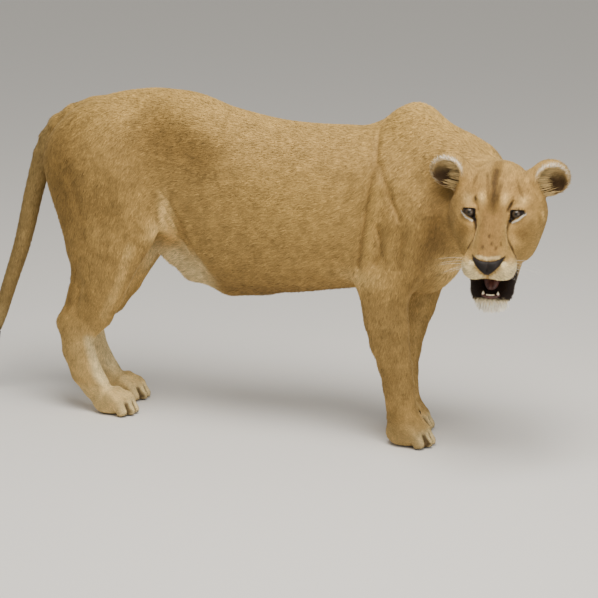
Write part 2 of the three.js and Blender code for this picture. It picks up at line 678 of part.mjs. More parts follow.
// Lower front teeth: six incisors between two canines, all rooted in one curved bar of gum.
const GUM = { radius: 27, bar: 5, at: [62, 0, -199] };
const onGum = (angle) => [GUM.at[0] + GUM.radius * Math.cos(angle), GUM.radius * Math.sin(angle), GUM.at[2]];
const arc = [-50, -25, 0, 25, 50].map((angle) => new THREE.Vector3(...onGum(radians(angle))));
const section = new THREE.Shape();
section.absellipse(0, 0, GUM.bar, GUM.bar, 0, 2 * Math.PI);
const gum = new THREE.ExtrudeGeometry(section, {
  steps: 7,
  curveSegments: 6,
  extrudePath: new THREE.CatmullRomCurve3(arc),
});
const TOOTH_ANGLES = [-46, -20, -12, -4, 4, 12, 20, 46];
let teeth = solidFrom(gum);
for (const angle of TOOTH_ANGLES) {
  const canine = Math.abs(angle) > 40;
  const height = canine ? 14 : 9;
  const tooth = new THREE.ConeGeometry(canine ? 5 : 2.6, height, 5).rotateX(Math.PI / 2);
  tooth.translate(...onGum(radians(angle))).translate(0, 0, height / 2);
  teeth = teeth.add(solidFrom(tooth));
}
const lowerJaw = lowerJawWhole.subtract(tongueSeat).subtract(grown(geometryFrom(teeth)));
addSolid('lower_jaw', mainBody(lowerJaw), paleCoat, headGroup);
addSolid('lower_teeth', teeth, toothEnamel, headGroup);

// The origin is on the floor under the middle of her whole length and width.
lioness.updateMatrixWorld(true);
const extent = new THREE.Box3().setFromObject(figure, true);
const middle = extent.getCenter(new THREE.Vector3());
figure.position.set(-middle.x, -middle.y, 0);

export default lioness;
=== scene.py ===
"""The looks of a life-size lioness: skin, coat, eyes, nose, mouth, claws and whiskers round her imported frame.

Shapes are worked out in millimetres in the figure's own axes: X runs from tail to shoulders, Y to her left
and Z up. Each piece is set in the row's frame, in metres, as it is made.
"""
from concurrent.futures import ThreadPoolExecutor

import bpy
import numpy as np
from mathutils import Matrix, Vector


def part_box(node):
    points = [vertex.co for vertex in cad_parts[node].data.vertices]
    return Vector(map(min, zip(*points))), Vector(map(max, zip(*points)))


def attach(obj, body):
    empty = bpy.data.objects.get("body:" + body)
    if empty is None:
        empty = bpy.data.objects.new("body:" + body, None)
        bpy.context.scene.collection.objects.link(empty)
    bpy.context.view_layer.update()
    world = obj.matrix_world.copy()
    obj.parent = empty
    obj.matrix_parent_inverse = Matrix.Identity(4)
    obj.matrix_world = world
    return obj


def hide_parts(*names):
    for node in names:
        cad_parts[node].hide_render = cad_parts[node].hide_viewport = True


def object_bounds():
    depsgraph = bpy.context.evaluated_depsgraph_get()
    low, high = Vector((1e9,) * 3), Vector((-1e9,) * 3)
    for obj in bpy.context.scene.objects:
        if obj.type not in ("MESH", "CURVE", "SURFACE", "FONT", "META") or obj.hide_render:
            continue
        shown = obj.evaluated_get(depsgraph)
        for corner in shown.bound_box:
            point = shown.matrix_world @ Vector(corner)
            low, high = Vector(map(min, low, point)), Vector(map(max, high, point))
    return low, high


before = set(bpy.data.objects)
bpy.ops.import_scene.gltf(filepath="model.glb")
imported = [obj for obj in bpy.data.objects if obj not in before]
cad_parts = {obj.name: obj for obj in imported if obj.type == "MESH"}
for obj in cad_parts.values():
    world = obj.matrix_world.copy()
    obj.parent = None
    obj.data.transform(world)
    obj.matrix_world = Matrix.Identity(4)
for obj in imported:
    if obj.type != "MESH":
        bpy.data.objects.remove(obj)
cad_box = [list(corner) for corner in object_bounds()]


# --------------------------------------------------------------------------------------------------
# Studio: a pale matt floor, a broad soft light overhead, a weaker one in front of her, and a pale room. The
# camera stands some six metres off on her right side, a little towards her head, and looks slightly down.

STUDIO_PALE = (0.80, 0.78, 0.74)
FLOOR_HALF = 40.0
CAMERA_AZIMUTH = np.radians(21.0)
CAMERA_HEIGHT = np.radians(13.5)
CAMERA_DISTANCE = 6.2
CAMERA_LENS = 141.1  # mm, on a 36 mm sensor
AIM_FROM_MIDDLE = (0.276, -0.3275, 0.477)  # from the floor under the middle of her

box_low, box_high = (np.array(corner) for corner in cad_box)
under_middle = np.array([(box_low[0] + box_high[0]) / 2, (box_low[1] + box_high[1]) / 2, box_low[2]])
aim = under_middle + AIM_FROM_MIDDLE
away = np.array([
    np.sin(CAMERA_AZIMUTH) * np.cos(CAMERA_HEIGHT),
    -np.cos(CAMERA_AZIMUTH) * np.cos(CAMERA_HEIGHT),
    np.sin(CAMERA_HEIGHT),
])
camera_place = aim + CAMERA_DISTANCE * away


def look_from(thing, place, target):
    """Puts a camera or light at place and turns its -Z axis to the target, with +Y upward."""
    thing.location = place
    thing.rotation_euler = Vector(np.subtract(target, place)).to_track_quat("-Z", "Y").to_euler()
    bpy.context.scene.collection.objects.link(thing)


camera = bpy.data.objects.new("camera", bpy.data.cameras.new("camera"))
camera.data.lens = CAMERA_LENS
camera.data.sensor_width = 36
look_from(camera, camera_place, aim)
bpy.context.scene.camera = camera

WARM_WHITE = (1.0, 0.965, 0.91)
LIGHT_WIDTH = 2.4
SOFT_LIGHTS = {"overhead": ((0.9, -1.3, 4.2), 225), "front": ((3.8, -3.0, 2.0), 70)}  # place, watts
LIT_MIDDLE = (0, 0, 0.5)
for name, (place, watts) in SOFT_LIGHTS.items():
    lamp = bpy.data.lights.new(name, "AREA")
    lamp.size = LIGHT_WIDTH
    lamp.energy = watts
    lamp.color = WARM_WHITE
    look_from(bpy.data.objects.new(name, lamp), place, LIT_MIDDLE)


def set_inputs(node, **values):
    """Sets a node's inputs by their names, with _ for each space."""
    for name, value in values.items():
        node.inputs[name.replace("_", " ")].default_value = value


room = bpy.data.worlds.new("room")
room.use_nodes = True
set_inputs(room.node_tree.nodes["Background"], Color=(*STUDIO_PALE, 1), Strength=0.60)
bpy.context.scene.world = room

floor_paint = bpy.data.materials.new("pale_floor")
floor_paint.use_nodes = True
set_inputs(floor_paint.node_tree.nodes["Principled BSDF"], Base_Color=(*STUDIO_PALE, 1), Roughness=0.85)
floor_mesh = bpy.data.meshes.new("floor")
floor_corners = [(x * FLOOR_HALF, y * FLOOR_HALF, 0) for x, y in ((-1, -1), (1, -1), (1, 1), (-1, 1))]
floor_mesh.from_pydata(floor_corners, [], [(0, 1, 2, 3)])
floor_mesh.materials.append(floor_paint)
floor = bpy.data.objects.new("floor", floor_mesh)
bpy.context.scene.collection.objects.link(floor)


# --------------------------------------------------------------------------------------------------
# Form of the body: a signed distance, below zero inside, blended from rounded masses and limbs as muscle and
# bone lie under one skin. Its zero is the coat's outer face, the surface that her solids follow.

SKIN_BLEND = 45
HEAD_AT = np.array([717, -217, 702])  # between the eyes
HEAD_TURN, HEAD_DROP, HEAD_TILT = np.radians([-80, 17, -0.5])
CROWN_SHIFT = 6  # of the crown to the left of the face's middle
EYE_AT = np.array([7, 62, 6])  # the left eyeball's centre, in the head's own axes
EYE_RADIUS = 19
JAW_OPEN = np.radians(21)
JAW_HINGE = (-95, -60)
FORE_FOOT = (426, 75)  # the paw's middle, ahead and out
HIND_FOOT = (-473, 83)
# Height, and how far a left leg's stride sets it forward of its middle there, a right leg's back.
FORE_LEAN = ((0, -25), (100, -24), (200, -19), (290, -6), (370, 9), (450, 17), (650, 12), (900, 0))
HIND_LEAN = ((0, -18), (220, -25), (380, -12), (560, 0))
TRUNK = (  # station, back, widest height, belly, half width
    (-610, 880, 780, 650, 80),
    (-500, 925, 775, 560, 118),
    (-370, 950, 765, 535, 136),
    (-285, 950, 740, 528, 136),
    (-240, 946, 720, 500, 137),
    (-200, 937, 700, 446, 141),
    (-110, 908, 660, 384, 154),
    (60, 880, 640, 390, 165),
    (270, 880, 640, 422, 156),
    (420, 890, 670, 428, 128),
    (530, 830, 690, 492, 95),
)
# Rows of x, y, z and radius.
POUCH = ((-345, 0, 512, 36), (-285, 0, 486, 47), (-230, 0, 448, 50), (-120, 0, 430, 62), (-20, 0, 448, 64))
TAIL = (  # height, place, half width
    (92, -944, 7),
    (150, -916, 15),
    (215, -884, 22),
    (330, -841, 24),
    (474, -789, 27),
    (628, -747, 30),
    (742, -712, 32),
    (770, -698, 34),
)
TAIL_ROOT = (
    (-711, 0, 742, 32), (-690, 0, 785, 34), (-655, 0, 823, 38), (-602, 0, 849, 45), (-540, 0, 862, 52),
)
TOES = ((50, -37), (66, -13), (65, 13), (49, 36))  # forward reach, outward
EAR = ((-108, 138, 57), (34, 51, 51))  # middle, half sizes
EAR_HOLLOW = ((-83, 141, 52), (29, 36, 38))
FAR_OFF = 400.0  # a distance that takes no part in a blend
# Low and high corners of boxes that hold each part with room to spare.
POUCH_BOX = ((-460, -160, 300), (120, 160, 640))
FORE_BOX = ((180, -280, -60), (720, 280, 1000))
HIND_BOX = ((-760, -280, -60), (-190, 280, 1000))
NECK_BOX = ((270, -300, 430), (860, 220, 1010))
TAIL_BOX = ((-1020, -110, 20), (-440, 110, 960))
HEAD_BOX = ((430, -470, 400), (1010, 60, 960))
OVAL = 2.2  # the power of the trunk's cross-section, 2 being an ellipse


def blend(a, b, k):
    """The smaller of two distances, rounded where they differ by less than k."""
    near = np.maximum(k - np.abs(a - b), 0) / k
    return np.minimum(a, b) - near * near * k / 4


def joined(shape, *parts):
    """A distance with others blended on in turn, each given with its rounding."""
    for part, k in parts:
        shape = blend(shape, part, k)
    return shape


def scoop(a, b, k):
    """Body a with body b taken away, its rim rounded by k."""
    return -blend(-a, b, k)


def mass(p, centre, radii, tilt=0):
    """An ellipsoid, tilted about Y in degrees: (s - 1) s / slope, with s the place's size in radii."""
    cos, sin = np.cos(np.radians(tilt)), np.sin(np.radians(tilt))
    x, y, z = p[0] - centre[0], p[1] - centre[1], p[2] - centre[2]
    u, w = x * cos - z * sin, x * sin + z * cos
    size = np.sqrt((u / radii[0]) ** 2 + (y / radii[1]) ** 2 + (w / radii[2]) ** 2) + 1e-6
    slope = np.sqrt((u / radii[0] ** 2) ** 2 + (y / radii[1] ** 2) ** 2 + (w / radii[2] ** 2) ** 2)
    return (size - 1) * size / (slope + 1e-6 / min(radii))


def limb(p, a, b, radius_a, radius_b, wide=1):
    """A round cone from a to b: the distance to the nearest point of its axis, less the radius there."""
    run = [b[i] - a[i] for i in range(3)]
    along = sum((p[i] - a[i]) * run[i] for i in range(3)) / sum(r * r for r in run)
    along = np.clip(along, 0, 1)
    x, y, z = (p[i] - a[i] - run[i] * along for i in range(3))
    return np.sqrt(x * x + (y / wide) ** 2 + z * z) - radius_a - (radius_b - radius_a) * along


def chain(p, rows, wide=1, k=8):
    """Round cones end to end through rows of x, y, z and radius."""
    shape = None
    for a, b in zip(rows[:-1], rows[1:]):
        length = limb(p, a[:3], b[:3], a[3], b[3], wide)
        shape = length if shape is None else blend(shape, length, k)
    return shape


def profile(table, column, x):
    """A cubic curve through a table's column, with each row's slope taken from its neighbours."""
    rows = np.array(table, float)
    at, value = rows[:, 0], rows[:, column]
    slope = np.gradient(value, at)
    slope[1:-1] = (value[2:] - value[:-2]) / (at[2:] - at[:-2])
    x = np.clip(x, at[0], at[-1])
    i = np.clip(np.searchsorted(at, x, side="right") - 1, 0, len(at) - 2)
    span = at[i + 1] - at[i]
    t = (x - at[i]) / span
    rise = value[i + 1] - value[i]
    lean = slope[i] * span
    curve = 3 * rise - (2 * slope[i] + slope[i + 1]) * span
    turn = (slope[i] + slope[i + 1]) * span - 2 * rise
    return value[i] + t * (lean + t * (curve + t * turn))


def within(shape, p, low, high):
    """The shape's distance inside a box that holds it with room to spare, and far off outside the box."""
    near = np.ones(p[0].shape, bool)
    for axis in range(3):
        near &= (p[axis] > low[axis]) & (p[axis] < high[axis])
    distance = np.full(p[0].shape, FAR_OFF)
    if near.any():
        distance[near] = shape(tuple(c[near] for c in p))
    return distance


def barrel(p):
    """The trunk: at each station a rounded oval, taller or deeper above and below its widest height."""
    x, y, z = p
    middle = profile(TRUNK, 2, x)
    high = np.where(z > middle, profile(TRUNK, 1, x) - middle, middle - profile(TRUNK, 3, x))
    wide = profile(TRUNK, 4, x)
    u, v = np.abs(y) / wide + 1e-6, np.abs(z - middle) / high + 1e-6
    size = (u**OVAL + v**OVAL) ** (1 / OVAL)
    slope = np.sqrt((u ** (OVAL - 1) / wide) ** 2 + (v ** (OVAL - 1) / high) ** 2) / size ** (OVAL - 1)
    ends = np.maximum(TRUNK[0][0] - x, x - TRUNK[-1][0])
    return scoop((size - 1) / slope, -ends, 60)


def leg_point(p, side, lean):
    """A place as the right or left leg sees it: mirrored to one side and set back by that leg's stride."""
    return p[0] - side * profile(lean, 1, p[2]), p[1] * side, p[2]


def paw(q, foot, wide=1.0):
    """A pad with four knuckled toes in front."""
    p = ((q[0] - foot[0]), (q[1] - foot[1]) / wide, q[2])
    shape = mass(p, (-16, 0, 34), (58, 48, 40))
    for reach, out in TOES:
        knuckle = (reach - 34, out * 0.94, 42)
        shape = blend(shape, limb(p, (-8, out * 0.6, 50), knuckle, 25, 19), 12)
        shape = blend(shape, limb(p, knuckle, (reach - 17, out, 16), 19, 17), 6)
    return shape


def foreleg(p, side):
    """Shoulder blade, upper arm, triceps, forearm with its wrist, inner toe and paw."""
    q = leg_point(p, side, FORE_LEAN)
    forearm = (
        (396, 110, 460, 74), (388, 101, 350, 64), (384, 94, 290, 58),
        (388, 87, 230, 51), (392, 83, 170, 46), (400, 80, 95, 45),
    )
    return joined(
        limb(q, (432, 40, 885), (500, 104, 650), 46, 92, 0.7),
        (limb(q, (500, 100, 640), (405, 110, 475), 88, 68, 0.78), SKIN_BLEND),
        (limb(q, (375, 90, 720), (378, 110, 490), 95, 62, 0.6), SKIN_BLEND),
        (chain(q, forearm, 0.82), 30),
        (mass(q, (412, 77, 60), (50, 42, 34)), 25),
        (limb(q, (414, 50, 122), (430, 37, 98), 13, 11), 10),
        (paw(q, FORE_FOOT), 20),
    )


def hindleg(p, side):
    """Haunch, thigh, hamstring, shank with its tendon, hock, metatarsus and paw."""
    q = leg_point(p, side, HIND_LEAN)
    shank = ((-458, 98, 500, 100), (-497, 93, 370, 66), (-530, 90, 305, 55), (-575, 87, 255, 48))
    tendon = ((-552, 92, 490, 30), (-580, 92, 400, 20), (-617, 88, 300, 20), (-632, 87, 262, 28))
    metatarsus = ((-606, 87, 250, 50), (-597, 86, 185, 50), (-573, 84, 120, 46), (-540, 83, 75, 42))
    return joined(
        mass(q, (-490, 74, 745), (160, 82, 165), 12),
        (limb(q, (-440, 85, 690), (-385, 104, 575), 112, 80, 0.62), 90),
        (limb(q, (-570, 66, 730), (-530, 92, 500), 84, 76, 0.62), 90),
        (chain(q, shank, 0.66), 60),
        (chain(q, tendon, 0.8), 30),
        (chain(q, metatarsus, 0.8), 25),
        (paw(q, HIND_FOOT, 0.9), 20),
    )


def tail_core(p):
    """The tail without its tuft: axis and half width are curves over the height, and the root is a chain."""
    place, wide = profile(TAIL, 1, p[2]), profile(TAIL, 2, p[2])
    slope = (profile(TAIL, 1, p[2] + 5) - profile(TAIL, 1, p[2] - 5)) / 10
    across = np.sqrt((p[0] - place) ** 2 / (1 + slope * slope) + p[1] ** 2)
    ends = np.maximum(TAIL[0][0] - p[2], p[2] - TAIL[-1][0])
    root = chain(p, TAIL_ROOT, 1, 6)
    return blend(scoop(across - wide, -ends, 20), root, 4)


def neck(p):
    """The crest, the thick of the neck, the nape behind the skull, and the throat."""
    return joined(
        limb(p, (420, 0, 893), (600, -12, 785), 52, 66, 1.1),
        (limb(p, (420, 0, 800), (555, -2, 745), 118, 114, 0.8), SKIN_BLEND),
        (limb(p, (555, -2, 745), (655, -40, 720), 108, 88, 0.9), SKIN_BLEND),
        (limb(p, (655, -40, 720), (700, -100, 704), 88, 82), 20),
        (limb(p, (500, 0, 620), (600, -40, 650), 112, 92, 0.85), SKIN_BLEND),
        (limb(p, (600, -40, 650), (688, -125, 650), 92, 76), 20),
    )


def turning(axis, angle):
    """The matrix of a turn about one axis."""
    u, v = [(1, 2), (2, 0), (0, 1)][axis]
    matrix = np.eye(3)
    matrix[u, u] = matrix[v, v] = np.cos(angle)
    matrix[u, v] = -np.sin(angle)
    matrix[v, u] = np.sin(angle)
    return matrix


head_turn = turning(2, HEAD_TURN) @ turning(1, HEAD_DROP) @ turning(0, HEAD_TILT)


def head_point(p):
    """A place in the head's own axes, from between the eyes: X out of the face, Y to her left, Z up."""
    x, y, z = (p[i] - HEAD_AT[i] for i in range(3))
    return tuple(head_turn[0, i] * x + head_turn[1, i] * y + head_turn[2, i] * z for i in range(3))


def from_head(points):
    """Rows of points in the head's axes, in the figure's axes."""
    return points @ head_turn.T + HEAD_AT


def face_point(q):
    """A place in the head's axes with the face's two sides folded together."""
    return q[0], np.abs(q[1]), q[2]


def crown_point(q):
    """The same about the middle of the crown."""
    return q[0], np.abs(q[1] - CROWN_SHIFT), q[2]


def upper_head(p):
    """Crown, brow, temples, jaw muscle, cheeks, bridge of the nose and the two lip pads."""
    crown, face = crown_point(p), face_point(p)
    return joined(
        mass(crown, (-92, 0, 28), (108, 86, 66)),
        (mass(crown, (-36, 28, 4), (58, 54, 42), 28), 26),
        (mass(crown, (-42, 64, -34), (82, 56, 54)), 26),
        (mass(crown, (-76, 72, -24), (60, 56, 76)), 30),
        (mass(crown, (-34, 57, -88), (84, 52, 58)), 35),
        (mass(face, (36, 28, -76), (72, 44, 42)), 30),
        (limb(face, (-10, 13, 8), (132, 14, -80), 31, 28), 18),
        (mass(face, (88, 0, -90), (70, 60, 36)), 20),
        (mass(face, (108, 38, -92), (50, 35, 33)), 12),
    )


def lower_jaw(p):
    """The jaw's two branches and the chin, swung down about the hinge."""
    cos, sin = np.cos(JAW_OPEN), np.sin(JAW_OPEN)
    ahead, up = p[0] - JAW_HINGE[0], p[2] - JAW_HINGE[1]
    q = (JAW_HINGE[0] + ahead * cos - up * sin, np.abs(p[1]), JAW_HINGE[1] + ahead * sin + up * cos)
    return blend(limb(q, (-50, 32, -98), (74, 26, -142), 54, 34), mass(q, (98, 0, -146), (44, 56, 30)), 18)


def skull(p):
    """The upper head and the jaw in one."""
    return blend(upper_head(p), lower_jaw(p), 16)


def mouth(p):
    """The open space between the jaws."""
    return mass(p, (98, 0, -161), (88, 72, 42), 12)


def ear_point(q):
    """The same, with the right ear's higher place evened out."""
    return q[0], np.abs(q[1] - CROWN_SHIFT), q[2] - 10 + 0.03 * q[1]


def ears(p):
    """Each ear: a rounded cup on a short root, its hollow facing forward and outward."""
    q = ear_point(p)
    root = limb(q, (-104, 92, 36), (-110, 124, 52), 40, 38)
    return scoop(blend(root, mass(q, *EAR), 20), mass(q, *EAR_HOLLOW), 6)


def head_box(shape, p):
    """The distance, near the head, of a shape given in the head's axes."""
    return within(lambda q: shape(head_point(q)), p, *HEAD_BOX)


def body(p):
    """Trunk, belly pouch, legs, neck, tail and head as one, with the mouth scooped out."""
    shape = joined(
        barrel(p),
        (mass(p, (455, 0, 592), (110, 112, 168), -8), 60),
        (within(lambda q: chain(q, POUCH, 0.8, 20), p, *POUCH_BOX), 36),
    )
    for side in (-1, 1):
        shape = joined(
            shape,
            (within(lambda q: foreleg(q, side), p, *FORE_BOX), SKIN_BLEND),
            (within(lambda q: hindleg(q, side), p, *HIND_BOX), SKIN_BLEND),
        )
    shape = joined(
        shape,
        (within(neck, p, *NECK_BOX), 60),
        (within(tail_core, p, *TAIL_BOX), 24),
        (head_box(skull, p), 40),
        (head_box(ears, p), 12),
    )
    return scoop(shape, head_box(mouth, p), 8)


# --------------------------------------------------------------------------------------------------
# Skin: one closed surface of flesh from nose to tail, inside the coat's outer face by the coat's depth there,
# with eyelids, lips and the folds of loose skin. It is worked out as a distance, then meshed as a net of
# triangles, and stands for all the nodes of flesh.

LID_TURN = np.radians(30.5)  # how far the lids face up out of the head's own axes
LID_THICK = 2.8
GRID_CELL = 7.6
GRID_LOW, GRID_HIGH = (-992, -412, -14), (965, 238, 1000)
SHRINK_BODY, SHRINK_FACE, SHRINK_FOOT = 4.5, 1.8, 2.0
SOLE = 0.6  # the pads' height above the floor


def to_path(q, path):
    """The distance of each place to a path of straight runs, in as many axes as the path's points have."""
    nearest = np.full(q[0].shape, 1e9)
    for a, b in zip(path[:-1], path[1:]):
        axes = range(len(a))
        run = [b[i] - a[i] for i in axes]
        along = np.clip(sum((q[i] - a[i]) * run[i] for i in axes) / sum(r * r for r in run), 0, 1)
        nearest = np.minimum(nearest, sum((q[i] - a[i] - run[i] * along) ** 2 for i in axes))
    return np.sqrt(nearest)


def furrow(q, path, reach, depth):
    """A groove along a path, a ridge where the depth is negative: depth * exp(-(distance / reach)^2)."""
    return depth * np.exp(-((to_path(q, path) / reach) ** 2))


def step(x, low, high):
    """0 below low and 1 above high, with a smooth rise between."""
    t = np.clip((x - low) / (high - low), 0, 1)
    return t * t * (3 - 2 * t)


def eye_axes(q):
    """A place seen from the nearer eyeball's centre: ahead out of the lids, outward to the temple, and up."""
    x, out, z = q[0] - EYE_AT[0], np.abs(q[1]) - EYE_AT[1], q[2] - EYE_AT[2]
    cos, sin = np.cos(LID_TURN), np.sin(LID_TURN)
    return x * cos + z * sin, out, z * cos - x * sin


def lid_opening(out, up):
    """The gap between the lids: level above, steep beside the nose, slanting below, its corners rounded."""
    above = up - 10
    inner = -out - 14.5
    below = ((out + 12) * 20 - (up + 11) * 34) / 39.4 - 3.2
    return scoop(scoop(above, -inner, 7), -below, 7)


def coat_depth(p):
    """How far the coat stands off the skin: least on the face, ears and feet."""
    depth = SHRINK_BODY - (SHRINK_BODY - SHRINK_FOOT) * step(-p[2], -190, -90)
    face = step(-head_box(lambda q: np.sqrt((q[0] + 20) ** 2 + q[1] ** 2 + q[2] ** 2) - 165, p), -60, 0)
    return depth - (SHRINK_BODY - SHRINK_FACE) * face


# Grooves and ridges: path, reach, depth.
FACE_FOLDS = (
    (((-120, 0, 98), (-20, 0, 78), (24, 0, 36)), 13, 4.0),  # groove of the forehead
    (((2, 40, 50), (0, 62, 44), (-10, 84, 34)), 13, -4.5),  # brow over each eye
    (((30, 46, -4), (48, 42, -14), (64, 48, -42), (76, 60, -70)), 7, 3.0),  # tear groove
    (((34, 60, -22), (10, 92, -6)), 12, -3.0),  # cheekbone
    (((152, 0, -92), (154, 0, -112), (140, 0, -140)), 4.5, 5.0),  # split of the lip
    (((137, 45, -62), (150, 26, -80), (157, 7, -96)), 3.5, 0.8),  # lip meets the nose
    (((128, 50, -66), (104, 56, -64)), 8, 2.5),  # above the lip pad
    (((150, 30, -108), (126, 56, -112)), 16, -3.0),  # fullness of the lip pad
    (((-26, 110, -20), (-14, 104, -70), (10, 78, -112)), 10, 2.0),  # edge of the cheek ruff
)
EAR_FOLDS = (
    (((-66, 86, 56), (-50, 108, 26)), 6, 2.5),  # fold under the ear's front edge
    (((-92, 112, 20), (-100, 140, 8)), 8, -3.0),  # fullness at the ear's foot
)


def head_details(q):
    """What the skin adds to the head's form: the folds of the face on both sides, and those at the ears."""
    face, crown = face_point(q), crown_point(q)
    relief = sum(furrow(face, *fold) for fold in FACE_FOLDS)
    return sum((furrow(crown, *fold) for fold in EAR_FOLDS), relief)


# The same on the flanks, seen from the side: at the elbow and shoulder, then at the flank, hip and thigh.
FLANK_FOLDS = (
    (((347, 880), (356, 830), (358, 794), (345, 722), (335, 647), (323, 573), (313, 513)), 9, 8.0),
    (((372, 795), (394, 746), (414, 696), (439, 657)), 10, 6.0),
    (((370, 630), (382, 587), (383, 557), (367, 528)), 10, 8.0),
    (((450, 618), (440, 563), (437, 521)), 12, 7.0),
    (((543, 654), (511, 560), (500, 500)), 16, 4.0),
    (((376, 745), (356, 640), (345, 560)), 12, -6.0),
    (((412, 660), (408, 560)), 16, -6.0),
    (((480, 640), (470, 540)), 14, -4.0),
    (((306, 760), (292, 640), (276, 540)), 18, -2.5),
    (((-260, 655), (-234, 608), (-216, 568), (-192, 509), (-168, 458)), 11, 6.0),
    (((-274, 640), (-256, 600), (-242, 560)), 7, 4.0),
    (((-284, 668), (-288, 608), (-292, 556)), 10, -4.0),
    (((-240, 640), (-205, 560), (-175, 500)), 12, -3.5),
    (((-297, 854), (-248, 821), (-204, 802), (-158, 778)), 55, 9.0),
    (((-400, 720), (-385, 600)), 34, -5.0),
    (((-361, 600), (-352, 575), (-326, 549)), 8, 2.0),
    (((-470, 600), (-450, 540), (-440, 480)), 16, 2.5),
    (((-552, 460), (-580, 380), (-598, 300)), 9, 4.0),
    (((60, 560), (-60, 470)), 20, 2.0),
    (((-560, 740), (-530, 620), (-515, 520)), 16, 3.0),
)


def flank_details(p):
    """Folds of loose skin and edges of muscle on both flanks, fading towards the body's middle."""
    seen = (p[0], p[2])
    relief = sum(furrow(seen, *fold) for fold in FLANK_FOLDS)
    return relief * step(np.abs(p[1]), 40, 95)


def spine_details(p):
    """The backbone's ridge from withers to tail, and the hollow between the shoulder blades."""
    on_top = step(p[2], 780, 860)
    ridge = -2.0 * np.exp(-((p[1] / 16) ** 2)) * step(-p[0], -380, -250)
    hollow = 5.0 * np.exp(-((p[1] / 20) ** 2)) * np.exp(-(((p[0] - 430) / 90) ** 2))
    return (ridge + hollow) * on_top


def paw_details(p, lean, foot, side):
    """The three clefts between the toes, from behind the knuckles down to the ground."""
    q = leg_point(p, side, lean)
    relief = np.zeros(p[0].shape)
    for out, reach in ((-25, 66), (0, 74), (25, 66)):
        path = (
            (foot[0] + 4, foot[1] + out * 0.8, 66),
            (foot[0] + reach - 22, foot[1] + out, 44),
            (foot[0] + reach - 12, foot[1] + out, 6),
        )
        relief += furrow(q, path, 6, 4.5)
    return relief


def eyelids(shape, q):
    """The skin swells over each eyeball as a thin shell, and the gap between the lids is cut through it."""
    ahead, out, up = eye_axes(q)
    from_ball = np.sqrt(ahead * ahead + out * out + up * up) - EYE_RADIUS
    shape = blend(shape, from_ball - LID_THICK, 9)
    gap = np.maximum(lid_opening(out, up), np.maximum(from_ball - 16, -1.6 - from_ball))
    return scoop(shape, np.maximum(gap, 4 - ahead), 1.6)


def bare_skin(p):
    """The coat's outer face drawn in by the coat's depth, with every fold, and with lids round the eyes."""
    shape = np.maximum(body(p) + coat_depth(p), SOLE - p[2])
    close = np.abs(shape) < 60
    if not close.any():
        return shape
    q = tuple(c[close] for c in p)
    relief = flank_details(q) + spine_details(q)
    low = q[2] < 110
    if low.any():
        r = tuple(c[low] for c in q)
        for side in (-1, 1):
            relief[low] += paw_details(r, FORE_LEAN, FORE_FOOT, side)
            relief[low] += paw_details(r, HIND_LEAN, HIND_FOOT, side)
    fine = shape[close] + relief
    h = head_point(q)
    face = (h[0] > -230) & (h[0] < 210) & (np.abs(h[1]) < 215) & (np.abs(h[2]) < 260)
    if face.any():
        f = tuple(c[face] for c in h)
        fine[face] = eyelids(fine[face] + head_details(f), f)
    shape[close] = fine
    return shape


def in_slabs(function, p, size=30000):
    """Works a function out over slabs of points, several at a time."""
    slabs = [tuple(c[i:i + size] for c in p) for i in range(0, len(p[0]), size)]
    with ThreadPoolExecutor(4) as workers:
        return np.concatenate(list(workers.map(function, slabs)))


def sampled(shape, low, high, cell, coarse=4):
    """Distances on a grid: worked out everywhere on a coarse grid, on the fine one only near the surface."""
    count = [int(np.ceil((h - l) / cell / coarse)) * coarse + 1 for l, h in zip(low, high)]
    axes = [l + np.arange(n) * cell for l, n in zip(low, count)]
    grid = np.meshgrid(*[a[::coarse] for a in axes], indexing="ij")
    rough = in_slabs(shape, tuple(g.ravel() for g in grid)).reshape(grid[0].shape)
    near = np.abs(rough) < cell * coarse * 1.3
    blocks = np.zeros([n - 1 for n in rough.shape], bool)
    for i, j, k in np.ndindex(2, 2, 2):
        blocks |= near[i:i + blocks.shape[0], j:j + blocks.shape[1], k:k + blocks.shape[2]]
    values = np.full(count, 1e3)
    values[:-1, :-1, :-1] = np.kron(rough[:-1, :-1, :-1], np.ones((coarse,) * 3))
    wanted = np.zeros(count, bool)
    wanted[:-1, :-1, :-1] = np.kron(blocks, np.ones((coarse,) * 3, bool))
    for axis in range(3):
        wanted |= np.roll(wanted, 1, axis)
    at = np.nonzero(wanted)
    values[at] = in_slabs(shape, tuple(axes[i][at[i]] for i in range(3)))
    return values


def unpinched(values):
    """Takes a third corner in where only two opposite corners of a grid face are inside, until none is so."""
    pinched = True
    while pinched:
        pinched = False
        for u, w in ((0, 1), (1, 2), (2, 0)):
            corners = []
            for du, dw in ((0, 0), (1, 0), (1, 1), (0, 1)):
                part = [slice(None)] * 3
                part[u] = slice(du, values.shape[u] - 1 + du)
                part[w] = slice(dw, values.shape[w] - 1 + dw)
                corners.append(values[tuple(part)])
            a, b, c, d = (corner < 0 for corner in corners)
            crossed = (a == c) & (b == d) & (a != b)
            if not crossed.any():
                continue
            pinched = True
            for one, other, opposite in ((1, 3, a), (0, 2, b)):
                outside = crossed & opposite
                nearer = corners[one] < corners[other]
                corners[one][outside & nearer] = -1e-3
                corners[other][outside & ~nearer] = -1e-3


